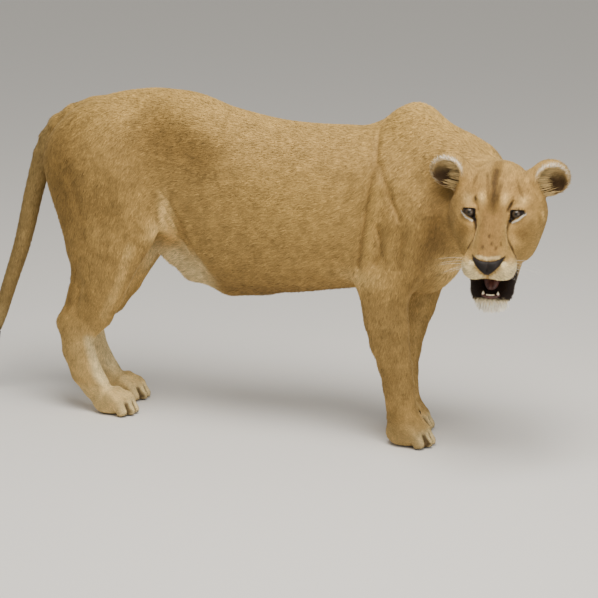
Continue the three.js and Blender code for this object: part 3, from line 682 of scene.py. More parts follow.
def surface_net(values, low, cell):
    """One point in each grid cell that the surface crosses, at the mean of its crossings of the cell's edges,
    and one square across each grid edge that the surface crosses, facing outward."""
    inside = values < 0
    nx, ny, nz = np.array(values.shape) - 1
    count = sum(inside[i:i + nx, j:j + ny, k:k + nz].astype(np.int8) for i, j, k in np.ndindex(2, 2, 2))
    crossed = (count > 0) & (count < 8)
    cells = np.stack(np.nonzero(crossed), 1)
    number = np.full(crossed.shape, -1)
    number[crossed] = np.arange(len(cells))
    total, crossings = np.zeros((len(cells), 3)), np.zeros(len(cells))
    corners = np.array(list(np.ndindex(2, 2, 2)))
    for a in corners:
        for b in corners[(corners - a).sum(1) == 1]:
            if np.abs(b - a).sum() > 1:
                continue
            value_a, value_b = values[tuple((cells + a).T)], values[tuple((cells + b).T)]
            crosses = (value_a < 0) != (value_b < 0)
            share = np.where(crosses, value_a / np.where(crosses, value_a - value_b, 1), 0)
            total += np.where(crosses[:, None], a + (b - a) * share[:, None], 0)
            crossings += crosses
    points = (cells + total / crossings[:, None]) * cell + np.array(low)
    squares = []
    for axis in range(3):
        u, w = (axis + 1) % 3, (axis + 2) % 3
        here, there = [slice(1, -1)] * 3, [slice(1, -1)] * 3
        here[axis], there[axis] = slice(0, -1), slice(1, None)
        edge = np.stack(np.nonzero(inside[tuple(here)] != inside[tuple(there)]), 1)
        outward = inside[tuple(here)][tuple(edge.T)]
        edge[:, [u, w]] += 1
        around = []
        for du, dw in ((0, 0), (1, 0), (1, 1), (0, 1)):
            cell_of = edge.copy()
            cell_of[:, u] -= du
            cell_of[:, w] -= dw
            around.append(number[tuple(cell_of.T)])
        square = np.stack(around, 1)
        square[~outward] = square[~outward][:, ::-1]
        squares.append(square)
    return points, np.concatenate(squares)


def gradient(shape, points, h=0.4):
    """The distance at each point and its slope, from small steps along the axes."""
    here = in_slabs(shape, tuple(points.T))
    slope = np.empty_like(points)
    for axis in range(3):
        moved = points.copy()
        moved[:, axis] += h
        slope[:, axis] = (in_slabs(shape, tuple(moved.T)) - here) / h
    return here, slope


def settled(shape, points, reach, rounds=2):
    """Points moved along the slope on to the surface, each by no more than reach."""
    moved = points.copy()
    for _ in range(rounds):
        here, slope = gradient(shape, moved)
        moved -= slope * (here / (np.einsum("ij,ij->i", slope, slope) + 1e-9))[:, None]
    shift = moved - points
    far = np.linalg.norm(shift, axis=1)
    return points + shift * np.minimum(1, reach / (far + 1e-9))[:, None]


def refined(shape, points, triangles, fineness):
    """Halves each edge over 1.4 times the fineness wanted there, settles its middle on the surface, and cuts
    each triangle into two, three or four to suit."""
    ends = np.sort(triangles[:, [[0, 1], [1, 2], [2, 0]]], axis=2)
    edges, place = np.unique(ends.reshape(-1, 2) @ [len(points), 1], return_inverse=True)
    a, b = edges // len(points), edges % len(points)
    middle = (points[a] + points[b]) / 2
    length = np.linalg.norm(points[a] - points[b], axis=1)
    long = length > 1.4 * fineness(middle)
    new = np.full(len(edges), -1)
    new[long] = len(points) + np.arange(long.sum())
    points = np.concatenate([points, settled(shape, middle[long], 3.0)])
    halves = new[place.reshape(-1, 3)]
    cuts = (halves >= 0).sum(1)
    corners = np.concatenate([triangles, halves], 1)  # corners are 0 to 2, middles of edges 3 to 5
    pieces = [triangles[cuts == 0]]
    for turn in range(3):
        turned = corners[:, [(i + turn) % 3 + j for j in (0, 3) for i in range(3)]]
        one = turned[(cuts == 1) & (turned[:, 3] >= 0)]
        two = turned[(cuts == 2) & (turned[:, 5] < 0)]
        pieces += [one[:, [0, 3, 2]], one[:, [3, 1, 2]]]
        pieces += [two[:, [3, 1, 4]], two[:, [0, 3, 4]], two[:, [0, 4, 2]]]
    whole = corners[cuts == 3]
    pieces += [whole[:, [3, 4, 5]], whole[:, [0, 3, 5]], whole[:, [3, 1, 4]], whole[:, [4, 2, 5]]]
    return points, np.concatenate(pieces)


def eased(shape, points, triangles, rounds):
    """Evens the net out: each point goes halfway to the mean of its neighbours and back on to the surface."""
    a, b = triangles.ravel(), np.roll(triangles, -1, 1).ravel()
    for _ in range(rounds):
        total = np.stack([np.bincount(a, points[b, i], len(points)) for i in range(3)], 1)
        mean = total / np.bincount(a, minlength=len(points))[:, None]
        points = settled(shape, points + (mean - points) * 0.5, 4.0, 1)
    return points


def skin_fineness(points):
    """How long an edge of the skin may be: shortest round the eyes, nose and lips, longest on the trunk."""
    p = tuple(points.T)
    q = np.stack(head_point(p), 1)
    side = np.abs(q[:, 1])
    size = np.full(len(points), 9.0)
    size[p[2] < 120] = 5.0
    on_head = np.linalg.norm(q - (-10, 0, -40), axis=1) < 190
    size[on_head] = 4.6
    ahead, out, up = eye_axes(tuple(q.T))
    size[np.sqrt(ahead**2 + out**2 + up**2) < 33] = 1.9
    near_nose = np.linalg.norm((q - (148, 0, -82)) / (30, 62, 44), axis=1) < 1
    size[near_nose] = 2.6
    lips = np.abs(mouth(tuple(q.T))) < 7
    size[lips & on_head] = 3.2
    return size


def meshed(shape, low, high, cell, fineness=None, rounds=3):
    """A closed net of triangles on the zero of a distance, refined where fineness asks for it."""
    values = sampled(shape, low, high, cell)
    unpinched(values)
    points, squares = surface_net(values, low, cell)
    triangles = np.concatenate([squares[:, [0, 1, 2]], squares[:, [0, 2, 3]]])
    points = settled(shape, points, 0.7 * cell)
    points = eased(shape, points, triangles, 2)
    if fineness is not None:
        for _ in range(rounds):
            points, triangles = refined(shape, points, triangles, fineness)
        points = eased(shape, points, triangles, 1)
    return points, triangles


skin_points, skin_triangles = meshed(bare_skin, GRID_LOW, GRID_HIGH, GRID_CELL, skin_fineness)


FLESH = [
    "chest", "belly", "rump", "neck", "head", "muzzle", "lower_jaw", "ear_right", "ear_left",
    "tail_base", "tail_middle", "tail_tip",
]
for limb_name in ("upper_foreleg", "forearm", "forepaw", "thigh", "shank", "hind_foot", "hind_paw"):
    FLESH += [f"{limb_name}_right", f"{limb_name}_left"]

eye_low, eye_high = (np.array(corner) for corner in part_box("eye_left"))
figure_at = (eye_low + eye_high) / 2 - from_head(EYE_AT) / 1000  # the figure's origin in the row's frame


def linear(red, green, blue):
    """A colour given on the screen's 0 to 255 scale, as the linear light that materials need."""
    c = np.array([red, green, blue]) / 255
    return np.where(c <= 0.04045, c / 12.92, ((c + 0.055) / 1.055) ** 2.4)


def make_piece(name, points, triangles, material, colours=None):
    """A smooth piece of triangles from points in the figure's millimetres, set in the row's frame."""
    mesh = bpy.data.meshes.new(name)
    mesh.vertices.add(len(points))
    mesh.vertices.foreach_set("co", (points / 1000 + figure_at).astype(np.float32).ravel())
    mesh.loops.add(triangles.size)
    mesh.loops.foreach_set("vertex_index", triangles.astype(np.int32).ravel())
    mesh.polygons.add(len(triangles))
    mesh.polygons.foreach_set("loop_start", np.arange(0, triangles.size, 3, dtype=np.int32))
    mesh.update(calc_edges=True)
    mesh.polygons.foreach_set("use_smooth", np.ones(len(triangles), bool))
    if colours is not None:
        paint = mesh.attributes.new("markings", "FLOAT_COLOR", "POINT")
        rgba = np.concatenate([colours, np.ones((len(colours), 1))], 1)
        paint.data.foreach_set("color", rgba.astype(np.float32).ravel())
    mesh.materials.append(material)
    piece = bpy.data.objects.new(name, mesh)
    bpy.context.scene.collection.objects.link(piece)
    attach(piece, "root")
    return piece


class Finish:
    """A material under way: its shader, and the nodes that lead into it."""

    def __init__(self, name, **shader_values):
        self.material = bpy.data.materials.new(name)
        self.material.use_nodes = True
        self.shader = self.material.node_tree.nodes["Principled BSDF"]
        set_inputs(self.shader, **shader_values)

    def node(self, kind, **values):
        """A new node of that kind, with its inputs set."""
        node = self.material.node_tree.nodes.new("ShaderNode" + kind)
        set_inputs(node, **values)
        return node

    def link(self, source, target):
        """Leads an output to an input."""
        self.material.node_tree.links.new(source, target)

    def painted(self, name):
        """A node that reads what is painted on the mesh under that name."""
        paint = self.node("Attribute")
        paint.attribute_name = name
        return paint

    def texture(self, kind, **values):
        """A texture in Object coordinates."""
        texture = self.node(kind, **values)
        self.link(self.node("TexCoord").outputs["Object"], texture.inputs["Vector"])
        return texture

    def ramp(self, source, bands):
        """Colours at places from 0 to 1, and smooth between them."""
        ramp = self.node("ValToRGB")
        colours = ramp.color_ramp.elements
        for element, (place, colour) in ((colours[0], bands[0]), (colours[1], bands[-1])):
            element.position, element.color = place, (*colour, 1)
        for place, colour in bands[1:-1]:
            colours.new(place).color = (*colour, 1)
        self.link(source, ramp.inputs["Fac"])
        return ramp.outputs["Color"]

    def shaded(self, colour, source, **span):
        """Gives the shader a colour made darker and lighter by a texture, over a span of values."""
        depth = self.node("MapRange", **span)
        self.link(source, depth.inputs["Value"])
        shade = self.node("VectorMath")
        shade.operation = "SCALE"
        self.link(colour, shade.inputs[0])
        self.link(depth.outputs["Result"], shade.inputs["Scale"])
        self.link(shade.outputs["Vector"], self.shader.inputs["Base Color"])

    def bump(self, height, strength, distance):
        """Lets a texture raise the surface by a distance in metres."""
        bump = self.node("Bump", Strength=strength, Distance=distance)
        self.link(height, bump.inputs["Height"])
        self.link(bump.outputs["Normal"], self.shader.inputs["Normal"])


def coat_material(name, roughness, sheen, hair_scale):
    """The markings painted on the mesh, mottled by rough noise, over a fine grain of hair."""
    coat = Finish(
        name, Roughness=roughness, Specular_IOR_Level=0.25,
        Sheen_Weight=sheen, Sheen_Roughness=0.45, Sheen_Tint=(1.0, 0.82, 0.54, 1),
    )
    mottle = coat.texture("TexNoise", Scale=28, Detail=5, Roughness=0.8)
    span = {"From_Min": 0.28, "From_Max": 0.72, "To_Min": 0.66, "To_Max": 1.28}
    coat.shaded(coat.painted("markings").outputs["Color"], mottle.outputs["Fac"], **span)
    coat.bump(coat.texture("TexNoise", Scale=hair_scale).outputs["Fac"], 0.5, 0.0015)
    return coat.material


TAN = linear(188, 152, 88)
HIGHLIGHT_GOLD = linear(202, 164, 92)
DARK_TAN = linear(132, 102, 51)
LEG_TAN = linear(166, 134, 78)
CREAM = linear(247, 208, 134)
POUCH_PALE_BOUNCE_LIT = linear(240, 214, 158)
PALE_FOOT = linear(240, 208, 142)
TAIL_GREY = linear(158, 132, 82)
# Painted shade: the brown laid in the folds, along the belly's lower edge and where the head's shadow falls.
PAINTED_SHADE_BROWN = linear(98, 69, 26)
TUFT_DARK = linear(62, 46, 30)
FOREHEAD = linear(176, 137, 77)
BRIDGE = linear(146, 110, 57)
STREAK = linear(72, 48, 19)
LID_RIM = linear(26, 17, 10)
WHITE_HAIR = linear(254, 246, 226)
LIP_PAD = linear(251, 228, 172)
LIP_DARK = linear(36, 24, 17)
MOUTH_LINING = linear(70, 34, 24)
EAR_BACK = linear(58, 44, 30)
EAR_DEEP_SHADE = linear(78, 57, 33)
EAR_HAIR = linear(216, 184, 124)


def tint(colour, share, new):
    """Moves colours towards a new one by a share from 0 to 1 at each point."""
    return colour + (new - colour) * share[:, None]


def glow(q, centre, reach):
    """A soft spot: exp(-(distance in reaches)^2)."""
    return np.exp(-sum(((c - at) / wide) ** 2 for c, at, wide in zip(q, centre, reach)))


def streak(q, path, half, soft=2.0):
    """A line of colour along a path: full to its half width, then fading out."""
    return 1 - step(to_path(q, path), half, half + soft)


def marked(colour, q, marks):
    """Colours with marks laid on in turn: each is a share, a new colour, glow or streak, and its sizes."""
    for share, new, mark, *sizes in marks:
        colour = tint(colour, share * mark(q, *sizes), new)
    return colour


# Painted shade on both flanks: over the hip and thigh, on the back of the thigh turned from the light, under
# the shoulder and upper arm, and the head's shadow on the side of the neck and behind the throat.
FLANK_SHADING = (
    (0.42, DARK_TAN, glow, (-300, 124, 800), (120, 200, 70)),  # hip
    (0.30, DARK_TAN, glow, (-440, 140, 640), (110, 200, 120)),  # thigh
    (0.75, DARK_TAN, glow, (-585, 110, 690), (70, 200, 210)),  # back of the thigh
    (0.35, DARK_TAN, glow, (545, 150, 680), (60, 200, 110)),  # shoulder
    (0.50, DARK_TAN, glow, (560, 180, 735), (60, 90, 60)),  # side of the neck
    (0.6, PAINTED_SHADE_BROWN, glow, (540, 150, 630), (44, 200, 130)),  # shade behind the throat
    (0.4, PAINTED_SHADE_BROWN, glow, (505, 150, 515), (32, 200, 80)),
    (0.28, DARK_TAN, glow, (415, 150, 610), (70, 200, 130)),  # upper arm
)
SHOULDER_MARKS = (  # seen from the side
    # painted highlight along the ridge of the shoulder muscle
    (0.4, HIGHLIGHT_GOLD, streak, ((376, 745), (358, 640), (347, 550)), 5, 16),
    (0.35, DARK_TAN, streak, ((424, 430), (412, 300), (406, 180)), 6, 16),
)


# Paths seen from the side.
HIP_HOLLOW = ((-297, 854), (-248, 821), (-204, 802), (-158, 778))
SHIN_EDGE = ((-552, 225), (-545, 185), (-525, 120), (-495, 75))
THIGH_EDGE = ((-372, 520), (-430, 400), (-492, 300))
UNDER_MARKS = (
    # painted shade along the belly's lower edge
    (0.5, PAINTED_SHADE_BROWN, glow, (40, 80, 398), (190, 120, 26)),  # belly's lower edge
    (0.6, CREAM, glow, (312, 150, 482), (60, 90, 22)),  # behind the elbow
)


def trunk_colours(p):
    """Tan with painted highlight on back and ribs, painted shade in hollows, folds, under the belly and in the
    head's shadow; pale on flank, pouch and chest, painted paler underneath as light from the floor.
    """
    x, y, z = p
    out = np.abs(y)
    side, seen = (x, out, z), (x, z)
    colour = np.tile(TAN, (len(x), 1))
    # Painted highlight: lighter along the top of the back under the light from overhead, and over the ribs.
    colour = tint(colour, 0.8 * step(z, 780, 930), HIGHLIGHT_GOLD)
    colour = tint(colour, 0.5 * glow(side, (130, 150, 690), (190, 200, 110)), HIGHLIGHT_GOLD)
    # Painted shade in the hollow over the hip.
    colour = tint(colour, 0.62 * np.exp(-((to_path(seen, HIP_HOLLOW) / 66) ** 2)), DARK_TAN)
    colour = marked(colour, side, FLANK_SHADING)
    colour = marked(colour, seen, SHOULDER_MARKS)
    # Painted shade in each fold, darker the deeper the fold.
    for path, reach, depth in FLANK_FOLDS:
        share = 0.8 * min(max(depth, 0), 5) / reach * np.exp(-((to_path(seen, path) / reach) ** 2))
        colour = tint(colour, share * step(out, 50, 90), PAINTED_SHADE_BROWN)
    # Darker low on the belly: partly a duller tan of its own, partly painted shade underneath.
    colour = tint(colour, 0.6 * step(-z, -520, -400) * step(x, -200, -100) * step(-x, -330, -230), DARK_TAN)
    # Pale under the belly and pouch, painted paler still as light thrown up from the floor.
    under = step(-z, -540, -490) * step(-out, -100, -64) * step(-x, 110, 190) * step(x, -450, -400)
    colour = tint(colour, 0.8 * under, POUCH_PALE_BOUNCE_LIT)
    patch = np.maximum(glow(seen, (-270, 592), (19, 58)), glow(seen, (-290, 548), (26, 34)))
    colour = tint(colour, np.minimum(2.1 * patch, 0.97), CREAM)
    colour = marked(colour, side, UNDER_MARKS)
    colour = tint(colour, 0.75 * glow(p, (590, -10, 520), (95, 95, 120)), CREAM)
    return tint(colour, 0.8 * glow(side, (556, 60, 518), (42, 60, 36)), CREAM)


def leg_colours(p, colour):
    """Duller tan forelegs, paler inside, and shanks pale inside, with painted light there and a painted
    highlight down their front edges.
    """
    x, y, z = p
    out = np.abs(y)
    fore = step(x, 250, 330)
    colour = tint(colour, 0.75 * fore * step(-z, -470, -400), LEG_TAN)
    colour = tint(colour, 0.3 * fore * step(-z, -430, -380) * step(-out, -84, -62), CREAM)
    colour = tint(colour, 0.5 * glow((x, out, z), (470, 120, 470), (40, 80, 28)), DARK_TAN)
    hind = step(-x, 300, 380)
    shin = step(-z, -310, -190) * hind
    straight = x - np.sign(y) * profile(HIND_LEAN, 1, z)  # where it would be on a leg that didn't stride
    colour = tint(colour, 0.3 * shin, PALE_FOOT)
    # Painted highlight down the shanks' front edges, and pale inner sides painted paler still as painted light.
    colour = tint(colour, 0.8 * shin * streak((straight, z), SHIN_EDGE, 3, 18), LIP_PAD)
    colour = tint(colour, 0.8 * shin * step(-out, -76, -58), LIP_PAD)
    colour = tint(colour, 0.85 * hind * step(-z, -110, -60) * step(x, -580, -540), PALE_FOOT)
    colour = tint(colour, 0.35 * hind * streak((straight, z), THIGH_EDGE, 3, 16), CREAM)
    return tint(colour, 0.5 * glow((straight, y, z), (-612, 80, 262), (30, 190, 60)), DARK_TAN)


def foot_colours(p, colour):
    """Pale feet, paler on the tops of the toes, with painted shade in the clefts between them, and dark soles.
    """
    colour = tint(colour, 0.3 * step(-p[2], -90, -30), PALE_FOOT)
    toes, cleft_shade = np.zeros(len(p[0])), np.zeros(len(p[0]))
    for lean, foot in ((FORE_LEAN, FORE_FOOT), (HIND_LEAN, HIND_FOOT)):
        for hand in (-1, 1):
            over = leg_point(p, hand, lean)[:2]
            tops = glow(over, (foot[0] + 52, foot[1]), (28, 60)) * step(-p[2], -60, -40)
            toes = np.maximum(toes, tops)
            for cleft in (-25, 0, 25):
                path = ((foot[0] + 34, foot[1] + cleft), (foot[0] + 66, foot[1] + cleft))
                cleft_shade = np.maximum(cleft_shade, streak(over, path, 2.5, 4) * step(-p[2], -52, -36))
    colour = tint(colour, 0.75 * toes, LIP_PAD)
    # Painted shade in the clefts between the toes.
    colour = tint(colour, 0.9 * cleft_shade, STREAK)
    return tint(colour, step(-p[2], -9, -4), LIP_DARK)


def body_colours(p):
    """The colours of trunk, legs and feet, and of the tail, which darkens to its tuft."""
    colour = foot_colours(p, leg_colours(p, trunk_colours(p)))
    on_tail = step(-p[0], 655, 690)
    colour = tint(colour, 0.85 * on_tail, TAIL_GREY)
    return tint(colour, on_tail * step(-p[2], -222, -184), TUFT_DARK)


NOSE_BACK = 116  # how far back the leather reaches, in the head's axes


def nose_leather(q):
    """The bare end of the nose: a wedge of the muzzle under a dipped upper edge, between slanting sides."""
    side = np.abs(q[1])
    dip = 5.0 - 11.0 * (np.minimum(side, 46) / 42.5) ** 2.2
    above = (q[0] - 149) * -0.25 + (q[2] + 55 + dip) * 0.968
    beside = (side - 43) * 0.656 + (q[2] + 58) * -0.755
    return scoop(scoop(above, -beside, 5), q[0] - NOSE_BACK, 5)


BROW_MARKS = (
    (0.8, FOREHEAD, glow, (-20, 40, 40), (90, 90, 60)),
    (0.8, BRIDGE, streak, ((36, 0, 18), (125, 0, -52)), 20, 18),
    (0.45, BRIDGE, glow, (30, 74, -32), (30, 26, 22)),  # cheekbone
    (0.85, CREAM, glow, (4, 31, 46), (22, 10, 13)),  # spot over the eye's inner end
    (0.6, CREAM, glow, (-14, 72, 34), (22, 20, 12)),  # spot over its outer end
    (0.8, DARK_TAN, streak, ((-128, 0, 92), (-60, 0, 86), (-16, 0, 74), (26, 0, 26)), 7, 14),
    (0.7, STREAK, streak, ((-80, 0, 88), (-16, 0, 74), (24, 0, 30)), 2.5, 10),  # middle of the forehead
    (0.55, STREAK, streak, ((-60, 22, 84), (-10, 16, 68), (14, 11, 44)), 1.5, 6),
    (0.9, STREAK, streak, ((-6, 49, 48), (8, 46, 34), (18, 40, 22)), 2, 5),  # between the two spots
    (0.45, STREAK, streak, ((-70, 52, 74), (-34, 62, 60), (-20, 74, 44)), 1.5, 6),
)
# Painted shade along the fold under each ear's front edge.
EAR_FOLD_SHADE = ((0.7, STREAK, streak, ((-70, 82, 62), (-58, 96, 48), (-50, 110, 30)), 2, 6),)
CHEEK_MARKS = (
    (0.75, CREAM, streak, ((-34, 126, 14), (-32, 126, -30), (-16, 110, -84)), 1.5, 4),
    (0.5, DARK_TAN, streak, ((-16, 118, 0), (-12, 112, -40), (0, 98, -72)), 2, 9),
)
NOSE_MARKS = (
    (0.5, LIP_PAD, streak, ((142, 0, -56), (138, 24, -53), (126, 44, -47)), 2, 5),  # over the leather
    (0.95, LIP_PAD, streak, ((140, 44, -66), (150, 28, -84), (156, 6, -106)), 4, 5),  # under it
    (0.9, STREAK, streak, ((158, 0, -100), (154, 0, -118), (138, 0, -146)), 1.0, 2.2),  # split of the lip
)
TEAR_LINE = ((28, 47, -4), (45, 43, -14), (58, 45, -26), (70, 51, -46), (79, 62, -68), (84, 70, -86))
TEAR_MARKS = (
    (0.7, CREAM, streak, ((44, 36, -12), (70, 38, -34), (92, 40, -52)), 2, 5),
    (1, STREAK, streak, TEAR_LINE, 3.4, 5),
)
# Paths seen along the eye's own axis, outward and up.
UNDER_LID = ((-9, -20.5), (6, -13.5), (17, -3), (26, 7))
OUTER_CORNER = ((18, 8), (27, 12))
INNER_CORNER = ((-12, -8), (-15, -14), (-17, -20))
# Dark spots down the bridge.
NOSE_SPOTS = ((106, 5, -32), (101, 30, -36), (87, -2, -22), (134, -26, -50), (118, 18, -40), (116, -16, -38))


def lip_height(q):
    """How high a place lies on the lower lip's front, which slants with the open jaw."""
    return 0.862 * q[2] - 0.5075 * q[0]


def face_colours(q, colour):
    """Brows, cheeks, pale lip pads with rows of whisker spots, dark nose and tear lines."""
    side = face_point(q)
    colour = marked(colour, side, BROW_MARKS)
    colour = marked(colour, ear_point(q), EAR_FOLD_SHADE)
    colour = marked(colour, side, CHEEK_MARKS)
    pad = glow(side, (122, 44, -100), (52, 36, 30))
    colour = tint(colour, step(pad, 0.22, 0.52), LIP_PAD)
    for row in range(4):
        drop = -76 - 9 * row
        path = ((152 - row, 30, drop - 8), (140, 52, drop), (112, 66, drop + 5))
        colour = tint(colour, 0.55 * streak(side, path, 0.8, 2.6), DARK_TAN)
    for spot in NOSE_SPOTS:
        colour = tint(colour, 0.7 * streak(q, (spot, (spot[0] - 4, spot[1], spot[2] + 4)), 1.6, 4), STREAK)
    colour = marked(colour, side, NOSE_MARKS)
    colour = tint(colour, 1 - step(nose_leather(q), 0.5, 2.5), LIP_DARK)
    return marked(colour, side, TEAR_MARKS)


def lid_colours(q, colour):
    """White hair under each eye, and a dark rim that runs on into the eye's two corners."""
    ahead, out, up = eye_axes(q)
    seen, front = (out, up), step(ahead, 0, 6)
    colour = tint(colour, 0.97 * front * streak(seen, UNDER_LID, 1.2, 1.8), WHITE_HAIR)
    corners = np.maximum(streak(seen, OUTER_CORNER, 1.8, 3), streak(seen, INNER_CORNER, 1.6, 2.6))
    return tint(colour, front * np.maximum(corners, 1 - step(lid_opening(out, up), 2.0, 3.8)), LID_RIM)


def mouth_colours(q, colour):
    """A white chin, black lower lip and mouth's edge, and a lining painted darker to black at the throat, as
    painted shade.
    """
    side = face_point(q)
    colour = tint(colour, step(glow(side, (86, 0, -222), (56, 56, 34)), 0.25, 0.7), WHITE_HAIR)
    colour = tint(colour, 0.7 * step(-q[2], 120, 200) * step(q[0], -40, 30), LIP_PAD)
    low_lip = lip_height(q)
    width = 60 - 0.3 * (-165 - low_lip)
    lip = step(-q[2], 136, 144) * step(low_lip, -226, -220) * step(q[0], 0, 20)
    colour = tint(colour, lip * (1 - step(side[1] - width, 6, 12)), LIP_DARK)
    open_mouth = mouth(q)
    colour = tint(colour, (1 - step(open_mouth, 2.0, 5.0)) * step(q[0], 0, 20), LIP_DARK)
    # The lining fades to black towards the throat: painted shade deep in the mouth.
    return tint(colour, 1 - step(open_mouth, 0.2, 1.6), MOUTH_LINING * step(q[0], -20, 60)[:, None])


def ear_colours(q, colour):
    """Dark backs, white upper rims, and hollows painted darker downward, as painted shade deep in them."""
    crown = ear_point(q)
    on_ear, hollow = 1 - step(mass(crown, *EAR), 4, 16), mass(crown, *EAR_HOLLOW)
    colour = tint(colour, 0.85 * on_ear * step(-crown[0], 104, 124), EAR_BACK)
    rim = np.exp(-(((hollow - 10) / 2.5) ** 2))
    colour = tint(colour, on_ear * rim * (0.3 + 0.65 * step(crown[2], 62, 92)), WHITE_HAIR)
    # Pale hair in the hollow, darkening downward as painted shade deep in it.
    inside = tint(np.tile(EAR_HAIR, (len(rim), 1)), 0.3 + 0.7 * step(-crown[2], -80, -40), EAR_DEEP_SHADE)
    return tint(colour, on_ear * (1 - step(hollow, 3, 8)), inside)


def coat_colours(p):
    """The markings at each place, the same for the skin and for the coat that grows from it."""
    colour = body_colours(p)
    q = head_point(p)
    face = (q[0] > -220) & (np.abs(q[1]) < 220) & (np.abs(q[2]) < 270)
    on_face, face_colour = tuple(c[face] for c in q), colour[face]
    for coloured in (face_colours, lid_colours, mouth_colours, ear_colours):
        face_colour = coloured(on_face, face_colour)
    colour[face] = face_colour
    return colour


# The skin is painted darker than the hair that grows on it, as painted shade under the coat.
SKIN_SHADE_UNDER_HAIR = 0.86  # how light the skin is beside the hair that grows on it

skin_coat = coat_material("short_coat_over_skin", 0.75, 0.06, 520)
skin_paint = coat_colours(tuple(skin_points.T)) * SKIN_SHADE_UNDER_HAIR
skin = make_piece("skin", skin_points, skin_triangles, skin_coat, skin_paint)
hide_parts(*FLESH)


# --------------------------------------------------------------------------------------------------
# Coat: short flat tufts of hair over the whole skin, each a closed sliver rooted in it. They overlap like
# thatch and follow the lie: back from the nose, down the neck, along the trunk and down the legs to the toes.

PARTS = ("trunk", "neck", "head", "foreleg_right", "foreleg_left", "hindleg_right", "hindleg_left", "tail")
COVER = (1.6, 1.6, 1.0, 1.25, 1.25, 1.25, 1.25, 1.6)  # how many tufts deep the coat lies on each part
TUFT_SLENDER = 0.155  # width over length
TUFT_SHADES = np.array([0.8, 0.8, 0.95, 1.12])  # at its two root corners, ridge and tip
DARK_SHARE = 0.05  # how many tufts are dark ones
MOST_TUFTS = 49000  # in one piece
PATCH = 0.003  # what a tuft takes up of the OFBake map
LEAST_HEIGHT = 0.5  # of any hair above the floor
HAIR_SEED = 11
NOSE_TIP = np.array([152, 0, -72])  # from which the head's hair runs back, in the head's axes


def part_distances(p):
    """The distance to each part of the body, one row for each place, in the order of PARTS."""
    q = head_point(p)
    legs = [leg(p, side) for leg in (foreleg, hindleg) for side in (-1, 1)]
    return np.stack([barrel(p), neck(p), np.minimum(skull(q), ears(q)), *legs, tail_core(p)], 1)


def bare_places(p, q):
    """Where no hair grows: the eyes and lid edges, the nose leather, inside the mouth, and the soles."""
    ahead, out, up = eye_axes(q)
    bare = (ahead > 4) & (lid_opening(out, up) < 2.2) & (ahead**2 + out**2 + up**2 < 30**2)
    bare |= nose_leather(q) < 0.5
    on_head = (q[0] > -60) & (np.abs(q[1]) < 120) & (np.abs(q[2]) < 260)
    bare |= on_head & (mouth(q) < 3.5)
    return bare | (p[2] < 5)


def hair_lie(points, normals, nearness):
    """The way the hair lies: each part's own run, mixed by nearness, turned along the surface."""
    q = np.stack(head_point(tuple(points.T)), 1)
    on_foot = step(-points[:, 2], -125, -70)[:, None]
    away_from_nose = points - from_head(NOSE_TIP)
    away_from_nose /= np.linalg.norm(away_from_nose, axis=1)[:, None]
    ahead, out, up = eye_axes(tuple(q.T))
    from_eye = np.sqrt(ahead**2 + out**2 + up**2)
    hand = np.where(q[:, 1:2] < 0, (1, -1, 1), (1, 1, 1))
    outward = (points - from_head(EYE_AT * hand)) / (from_eye[:, None] + 1e-6)
    away_from_nose += 2.0 * outward * np.exp(-(((from_eye - 19) / 10) ** 2))[:, None]
    leg_run = np.array([-0.25, 0, -1.0]) * (1 - on_foot) + np.array([1.0, 0, -0.5]) * on_foot
    trunk_run, neck_run, tail_run = np.array([(-1.0, 0, -0.32), (-1.0, 0.2, -0.45), (-0.3, 0, -1.0)])
    runs = [trunk_run, neck_run, away_from_nose, *[leg_run] * 4, tail_run]
    weight = np.exp(-(nearness - nearness.min(1)[:, None]) / 22)
    lie = sum(weight[:, i:i + 1] * run for i, run in enumerate(runs))
    lie -= normals * np.einsum("ij,ij->i", lie, normals)[:, None]
    return lie / (np.linalg.norm(lie, axis=1)[:, None] + 1e-9)


def hair_length(p, q):
    """The length of a tuft: 15 mm on the trunk, more under the belly, least on the nose, lips and eyelids."""
    length = np.full(p[0].shape, 15.0)
    length += 6 * step(-p[2], -470, -400) * step(p[0], -380, -300) * step(-p[0], -420, -330)
    length -= 5.5 * step(-p[2], -480, -330)
    length -= 3.5 * step(-p[2], -150, -60)
    from_face = np.sqrt((q[0] - 60) ** 2 + q[1] ** 2 + (q[2] + 50) ** 2)
    length -= 5.5 * (1 - step(from_face, 150, 260))
    length -= 3.5 * (1 - step(from_face, 60, 150))
    ahead, out, up = eye_axes(q)
    from_eye = np.sqrt(ahead**2 + out**2 + up**2)
    length -= 4.5 * (1 - step(mass(ear_point(q), *EAR), 2, 14))
    return np.maximum(length, 5.0) - 2.0 * np.exp(-(((from_eye - 19) / 9) ** 2))


def chart(points, part):
    """Each place on an unwrap of its part: the way round the part's own axis, and the way along it."""
    p = tuple(points.T)
    if PARTS[part] == "trunk":
        around, along = np.arctan2(p[1], p[2] - 700), (p[0] + 700) / 1400
    elif PARTS[part] == "neck":
        around, along = np.arctan2(p[1] + 30, p[2] - 720), (p[0] - 300) / 560
    elif PARTS[part] == "head":
        q = head_point(p)
        around, along = np.arctan2(q[1], q[2] + 50), (q[0] + 220) / 420
    elif PARTS[part] == "tail":
        around, along = np.arctan2(p[1], p[0] - profile(TAIL, 1, p[2])), p[2] / 900
    else:
        lean, foot = (FORE_LEAN, FORE_FOOT) if part < 5 else (HIND_LEAN, HIND_FOOT)
        q = leg_point(p, -1 if PARTS[part].endswith("right") else 1, lean)
        around, along = np.arctan2(q[1] - foot[1], q[0] - foot[0]), p[2] / 900
    return np.stack([0.03 + 0.94 * (around / (2 * np.pi) + 0.5), 0.03 + 0.94 * np.clip(along, 0, 1)], 1)


